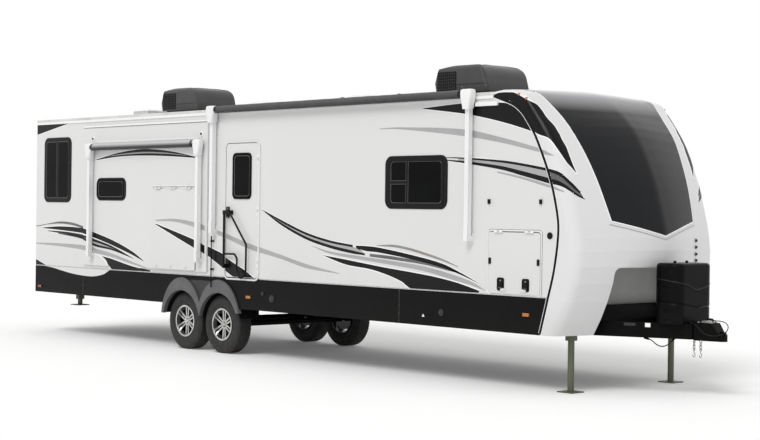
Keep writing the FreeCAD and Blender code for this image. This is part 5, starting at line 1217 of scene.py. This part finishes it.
dip = {"rows": [(-5.66, 1.022, 1.021), (-5.45, 1.022, 1.003), (-5.22, 1.022, 0.973), (-4.95, 1.022, 0.94),
                (-4.65, 1.022, 0.917), (-4.31, 1.022, 0.912), (-4.03, 1.022, 0.955), (-3.9, 1.022, 1.008),
                (-3.87, 1.022, 1.021)],
       "line": [(-3.862, 1.084), (-3.9, 1.112), (-3.985, 1.167), (-4.08, 1.216), (-4.18, 1.243),
                (-4.315, 1.254), (-4.5, 1.247)],
       "low": [(-3.872, 1.026), (-3.858, 1.05), (-3.872, 1.077)], "width": 0.012}
skirtMark = [(2.69, 0.721, 0.719), (2.711, 0.752, 0.719), (2.732, 0.721, 0.719)]
for name, finish, rows in (("dipWhite", "laminateWhite", eased(dip["rows"], 0.02)),
                           ("skirtMark", "stripeWhite", skirtMark)):
    makePiece(name, finish, "root", (addDecal, rows, onWall(-1, wallFace), 9, 0.0012), close=True)
for name, body, face, line in (("dipCurve", "slide_room_right", slideFace, dip["line"]),
                               ("dipCurveLow", "root", wallFace, dip["low"])):
    lay = onWall(-1, face)
    spots = [lay(x, z) for x, z in line]
    makePiece(name, "stripeWhite", body, (addRibbon, spots, dip["width"], 0.0018, 0.0005))
print("belt and skirt")


# inside of the arches: a filler between them and a dark liner round each wheel

arches = {"wheels": (-2.05, -1.21), "z": 0.3875, "radius": 0.43, "thick": 0.003, "y": (0.945, 1.188),
          "from": 13, "steps": 40, "web": [
              (-2.01, 0.962, 0.958), (-1.84, 0.963, 0.88), (-1.63, 0.963, 0.64), (-1.42, 0.963, 0.88),
              (-1.25, 0.962, 0.958)]}


def addLiner(bm, x, side):
    inner, outer, (y0, y1) = arches["radius"], arches["radius"] + arches["thick"], arches["y"]
    rings = []
    for k in range(arches["steps"] + 1):
        turn = math.radians(arches["from"] + (180 - 2 * arches["from"]) * k / arches["steps"])
        rings.append([bm.verts.new((x + r * math.cos(turn), side * y, arches["z"] + r * math.sin(turn)))
                      for r, y in ((inner, y0), (inner, y1), (outer, y1), (outer, y0))])
    addSkin(bm, rings)
    bm.faces.new(rings[0])
    bm.faces.new(rings[-1])


for tag, side in sides.items():
    makePiece("archWeb_" + tag, "capGrey", "root",
              (addDecal, arches["web"], onWall(side, wallFace), 9, 0.004), close=True)
    for number, x in enumerate(arches["wheels"]):
        makePiece(f"archLiner_{tag}{number}", "sealBlack", "root", (addLiner, x, side))
print("arches")


# roof equipment: grilles and seam bands on the shrouds, vent lids, small fittings

shroud = {"shifts": {"front": 0.0, "rear": -5.83}, "face": 0.35, "back": 2.029,
          "band": {"x": 2.645, "bow": 0.19, "z": 3.38, "radius": 0.0065}}
grille = {  # slats: how many, the first one's place, the step between them, their size
    "rearBars": (13, (1.9975, -0.252, 3.508), (0, 0.042, 0), (0.008, 0.006, 0.185)),
    "rearRails": (4, (1.9955, 0, 3.436), (0, 0, 0.048), (0.006, 0.53, 0.006)),
    "sideBars": (9, (2.03, 0.3545, 3.52), (0.036, 0, 0), (0.008, 0.006, 0.22)),
    "sideRails": (6, (2.174, 0.3535, 3.43), (0, 0, 0.036), (0.3, 0.006, 0.007)),
}


def dressShroud(name, shift):
    for part, (count, (x, y, z), step, size) in grille.items():
        for tag, side in (sides if part.startswith("side") else {"left": 1}).items():
            slats = {"Count": count, "Start": (x + shift, y * side, z), "Step": step, "Slat Size": size}
            grow(f"{part}_{name}_{tag}", slatTree, slats, "capGrey", "root")
    steps = [(addPad, (-0.262, 3.412), (0.262, 3.604), 0.004,
              lambda u, v, h: Vector((shroud["back"] + shift - h, u, v)), 0.002, 0.0005, 0.0005)]
    for side in sides.values():
        lay = onSide(side, shroud["face"])
        for x0, z0, x1, z1, corner, lift in ((2.012, 3.404, 2.336, 3.636, 0.012, 0.0025),
                                             (2.346, 3.47, 2.8, 3.476, 0.002, 0.0015)):
            steps.append((addPad, (x0 + shift, z0), (x1 + shift, z1), corner, lay, lift, 0.0005, 0.0005))
    makePiece("grilleBack_" + name, "sealBlack", "root", *steps)
    surface, band = surfaceOf("air_conditioner_" + name), shroud["band"]
    points = []
    for k in range(41):
        turn = math.radians(-84 + 168 * k / 40)
        x = band["x"] + shift + band["bow"] * abs(math.sin(turn)) ** 2.5
        out = Vector((0, math.sin(turn), math.cos(turn)))
        hit = surface.ray_cast(Vector((x, 0, band["z"])) + out * 2, -out)[0]
        points.append(hit - Vector((0, 0, 0.001)))
    addTube("shroudBand_" + name, points, band["radius"], 3, "beadGrey")
    for start, side in (("shroudScrews_", -1), ("shroudScrewsFar_", 1)):
        y = side * (shroud["face"] + 0.0005)
        addScrews(start + name, [[(2.3 + shift, y, 3.44), (2.84 + shift, y, 3.44)]], 0.13, (0, side, 0))


for name, shift in shroud["shifts"].items():
    dressShroud(name, shift)

vents = {"places": [-4.65, -1.75, 0.35], "half": 0.186, "top": 3.4195, "roof": 3.3295, "flange": 0.035,
         "lid": [(-0.01, 0.0, 0.03), (-0.01, 0.006, 0.03), (-0.004, 0.016, 0.034), (0.02, 0.026, 0.04),
                 (0.06, 0.032, 0.05)]}
half, top = vents["half"], vents["top"]
for number, x in enumerate(vents["places"]):
    sections = [((x - half + inset, -half + inset), (x + half - inset, half - inset), corner, top + rise)
                for inset, rise, corner in vents["lid"]]
    makePiece(f"ventLid_{number}", "trimWhite", "root", (addLoft, sections, onTop), degrees=50)
    out = half + vents["flange"]
    makePiece(f"ventSealant_{number}", "sealantGrey", "root",
              (addRing, (x - out, -out), (x + out, out), 0.03, 0.034,
               lambda u, v, h: Vector((u, v, vents["roof"] + h)), 0.005, 0.003, 0.008), degrees=50)
    addScrews(f"ventScrews_{number}", [[(x + at, -half, 3.3342), (x + at, half, 3.3342)]
                                       for at in (-half - 0.016, half + 0.016)], 0.09, (0, 0, 1))

pipes = {"places": [(-0.147, 0.0, 0.046), (0.96, 0.0, 0.034), (-5.2, 0.3, 0.034)],
         "shape": [(0, 3.31), (1.5, 3.31), (1.5, 3.336), (0.7, 3.343), (0.66, 3.4), (1.0, 3.404),
                   (1.02, 3.424), (0.86, 3.44), (0.5, 3.449), (0, 3.452)]}
for number, (x, y, r) in enumerate(pipes["places"]):
    profile = [(share * r, z) for share, z in pipes["shape"]]
    cap = (addTurned, profile, (x, y, 0), (0, 0, 1), 32)
    makePiece(f"pipeCap_{number}", "capGrey", "root", cap, degrees=40)
print("roof equipment")


# front end: dots on the nose, plates and bolts on the drawbar, coupler lever, ribs of the cover with a
# painted highlight under each

noseDots = {"places": [(0.72, 1.646), (0.705, 1.572), (0.701, 1.495), (0.707, 1.424)], "radius": 0.017,
            "rim": [
                (0.62, -0.001), (0.62, 0.0035), (1.3, 0.0045), (1.45, 0.002), (1.45, -0.001), (0.62, -0.001)],
            "heart": [(0, -0.001), (1, -0.001), (1, 0.01), (0.8, 0.019), (0.4, 0.024), (0, 0.025)]}
spots = [capTree.ray_cast(Vector((9, y, z)), Vector((-1, 0, 0)))[:2] for y, z in noseDots["places"]]
for name, finish, shape, count in (("noseDotRims", "steelZinc", "rim", 28),
                                   ("noseDotHearts", "capGrey", "heart", 24)):
    profile = [(share * noseDots["radius"], rise) for share, rise in noseDots[shape]]
    makePiece(name, finish, "root", *[(addTurned, profile, point, normal, count) for point, normal in spots],
              close=shape == "rim")

barTree = surfaceOf("drawbar")


def onBar(x, z):
    return barTree.ray_cast(Vector((x, -3, z)), Vector((0, 1, 0)))[:2]


blankPlates = {"barPlatePale": ("stripeWhite", [(5.257, 0.768, 0.724), (5.31, 0.768, 0.724)]),
               "barPlateDark": ("capGrey", [(5.045, 0.764, 0.732), (5.16, 0.764, 0.732)])}
for name, (finish, rows) in blankPlates.items():
    makePiece(name, finish, "root", (addDecal, rows, onBar, 9, 0.0022), close=True)

bolts = {"bar": [(4.86, 0.7), (4.93, 0.7), (5.42, 0.66), (5.42, 0.73), (5.62, 0.66), (5.62, 0.73)],
         "barShape": [
             (0, -0.001), (0.014, -0.001), (0.014, 0.003), (0.0095, 0.0032), (0.0095, 0.01), (0, 0.011)],
         "coupler": [(5.762, 0.098), (5.85, 0.085), (5.762, -0.098)],
         "couplerShape": [
             (0, 0.7895), (0.017, 0.7895), (0.017, 0.793), (0.012, 0.7935), (0.012, 0.802), (0, 0.803)]}
makePiece("barBolts", "steelBlack", "root",
          *[(addTurned, bolts["barShape"], *onBar(x, z), 6) for x, z in bolts["bar"]], degrees=20)
makePiece("couplerBolts", "steelZinc", "root",
          *[(addTurned, bolts["couplerShape"], (x, y, 0), (0, 0, 1), 6) for x, y in bolts["coupler"]],
          degrees=20)

lever = {"steps": [(5.775, 0.0, 0.01), (5.79, 0.02, 0.01), (5.86, 0.026, 0.009), (5.905, 0.022, 0.008),
                   (5.915, 0.012, 0.006)], "y": -0.066, "z": 0.7895}
y, z = lever["y"], lever["z"]
sections = [((y - wide, z - 0.001), (y + wide, z + 0.006 + rise), 0.003, x)
            for x, rise, wide in lever["steps"]]
makePiece("couplerLever", "steelZinc", "root", (addLoft, sections, lambda u, v, h: Vector((h, u, v))),
          degrees=50)

coverTree = surfaceOf("gas_bottle_cover")
coverRibs = {"middle": 5.48, "radius": 0.0075, "drop": 0.016, "slim": 0.005, "waves": [
    [(-180, 1.262), (-110, 1.262), (-55, 1.222), (0, 1.15), (55, 1.188), (110, 1.262), (180, 1.262)],
    [(-180, 1.01), (-110, 1.01), (-55, 0.985), (0, 0.95), (55, 0.972), (110, 1.01), (180, 1.01)]]}
for number, keys in enumerate(coverRibs["waves"]):
    points = []
    for turn, z in eased(keys, 6)[:-1]:
        out = Vector((math.cos(math.radians(turn)), math.sin(math.radians(turn)), 0))
        hit = coverTree.ray_cast(Vector((coverRibs["middle"], 0, z)) + out * 2, -out)[0]
        if hit:
            points.append(hit - out * 0.003)
    split = len(points) // 2
    for half, share in (("near", points[:split + 1]), ("far", points[split:])):
        # painted highlight: a slim lighter tube just under each rib for the light it catches
        under = [p - Vector((0, 0, coverRibs["drop"])) for p in share]
        addTube(f"coverRib_{number}_{half}", share, coverRibs["radius"], 3, "coverBlack")
        addTube(f"coverLine_{number}_{half}", under, coverRibs["slim"], 2, "capGrey")
print("front end")


# wheel nuts and valves

nuts = {"count": 6, "ring": 0.07, "face": 1.037, "length": 0.03, "radius": 0.0105}
valve = {"face": 1.095, "ring": 0.168, "turn": 0.4, "lean": 0.35,
         "shape": [(0, -0.001), (0.006, -0.001), (0.0055, 0.012), (0.0042, 0.014), (0.0042, 0.03),
                   (0.0052, 0.031), (0.0052, 0.04), (0, 0.041)]}
r, long = nuts["radius"], nuts["length"]
nutShape = [(0, -0.001), (r * 1.2, -0.001), (r * 1.2, 0.004), (r, 0.0045), (r, long - 0.008),
            (r * 0.6, long), (0, long)]
for wheel in wheels:
    low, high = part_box("wheel_" + wheel)
    side = -1 if low[1] < 0 else 1
    x, z = (low[0] + high[0]) / 2, (low[2] + high[2]) / 2
    turns = [2 * math.pi * k / nuts["count"] for k in range(nuts["count"])]
    ring, y = nuts["ring"], side * nuts["face"]
    places = [(x + ring * math.cos(a), y, z + ring * math.sin(a)) for a in turns]
    makePiece("nuts_" + wheel, "steelZinc", "wheel_" + wheel,
              *[(addTurned, nutShape, at, (0, side, 0), 6) for at in places], degrees=25)
    along = Vector((math.cos(valve["turn"]), 0, math.sin(valve["turn"])))
    at = Vector((x, side * valve["face"], z)) + along * valve["ring"]
    makePiece("valve_" + wheel, "sealBlack", "wheel_" + wheel,
              (addTurned, valve["shape"], at, Vector((0, side, 0)) - along * valve["lean"], 14))
print("wheel nuts and valves")
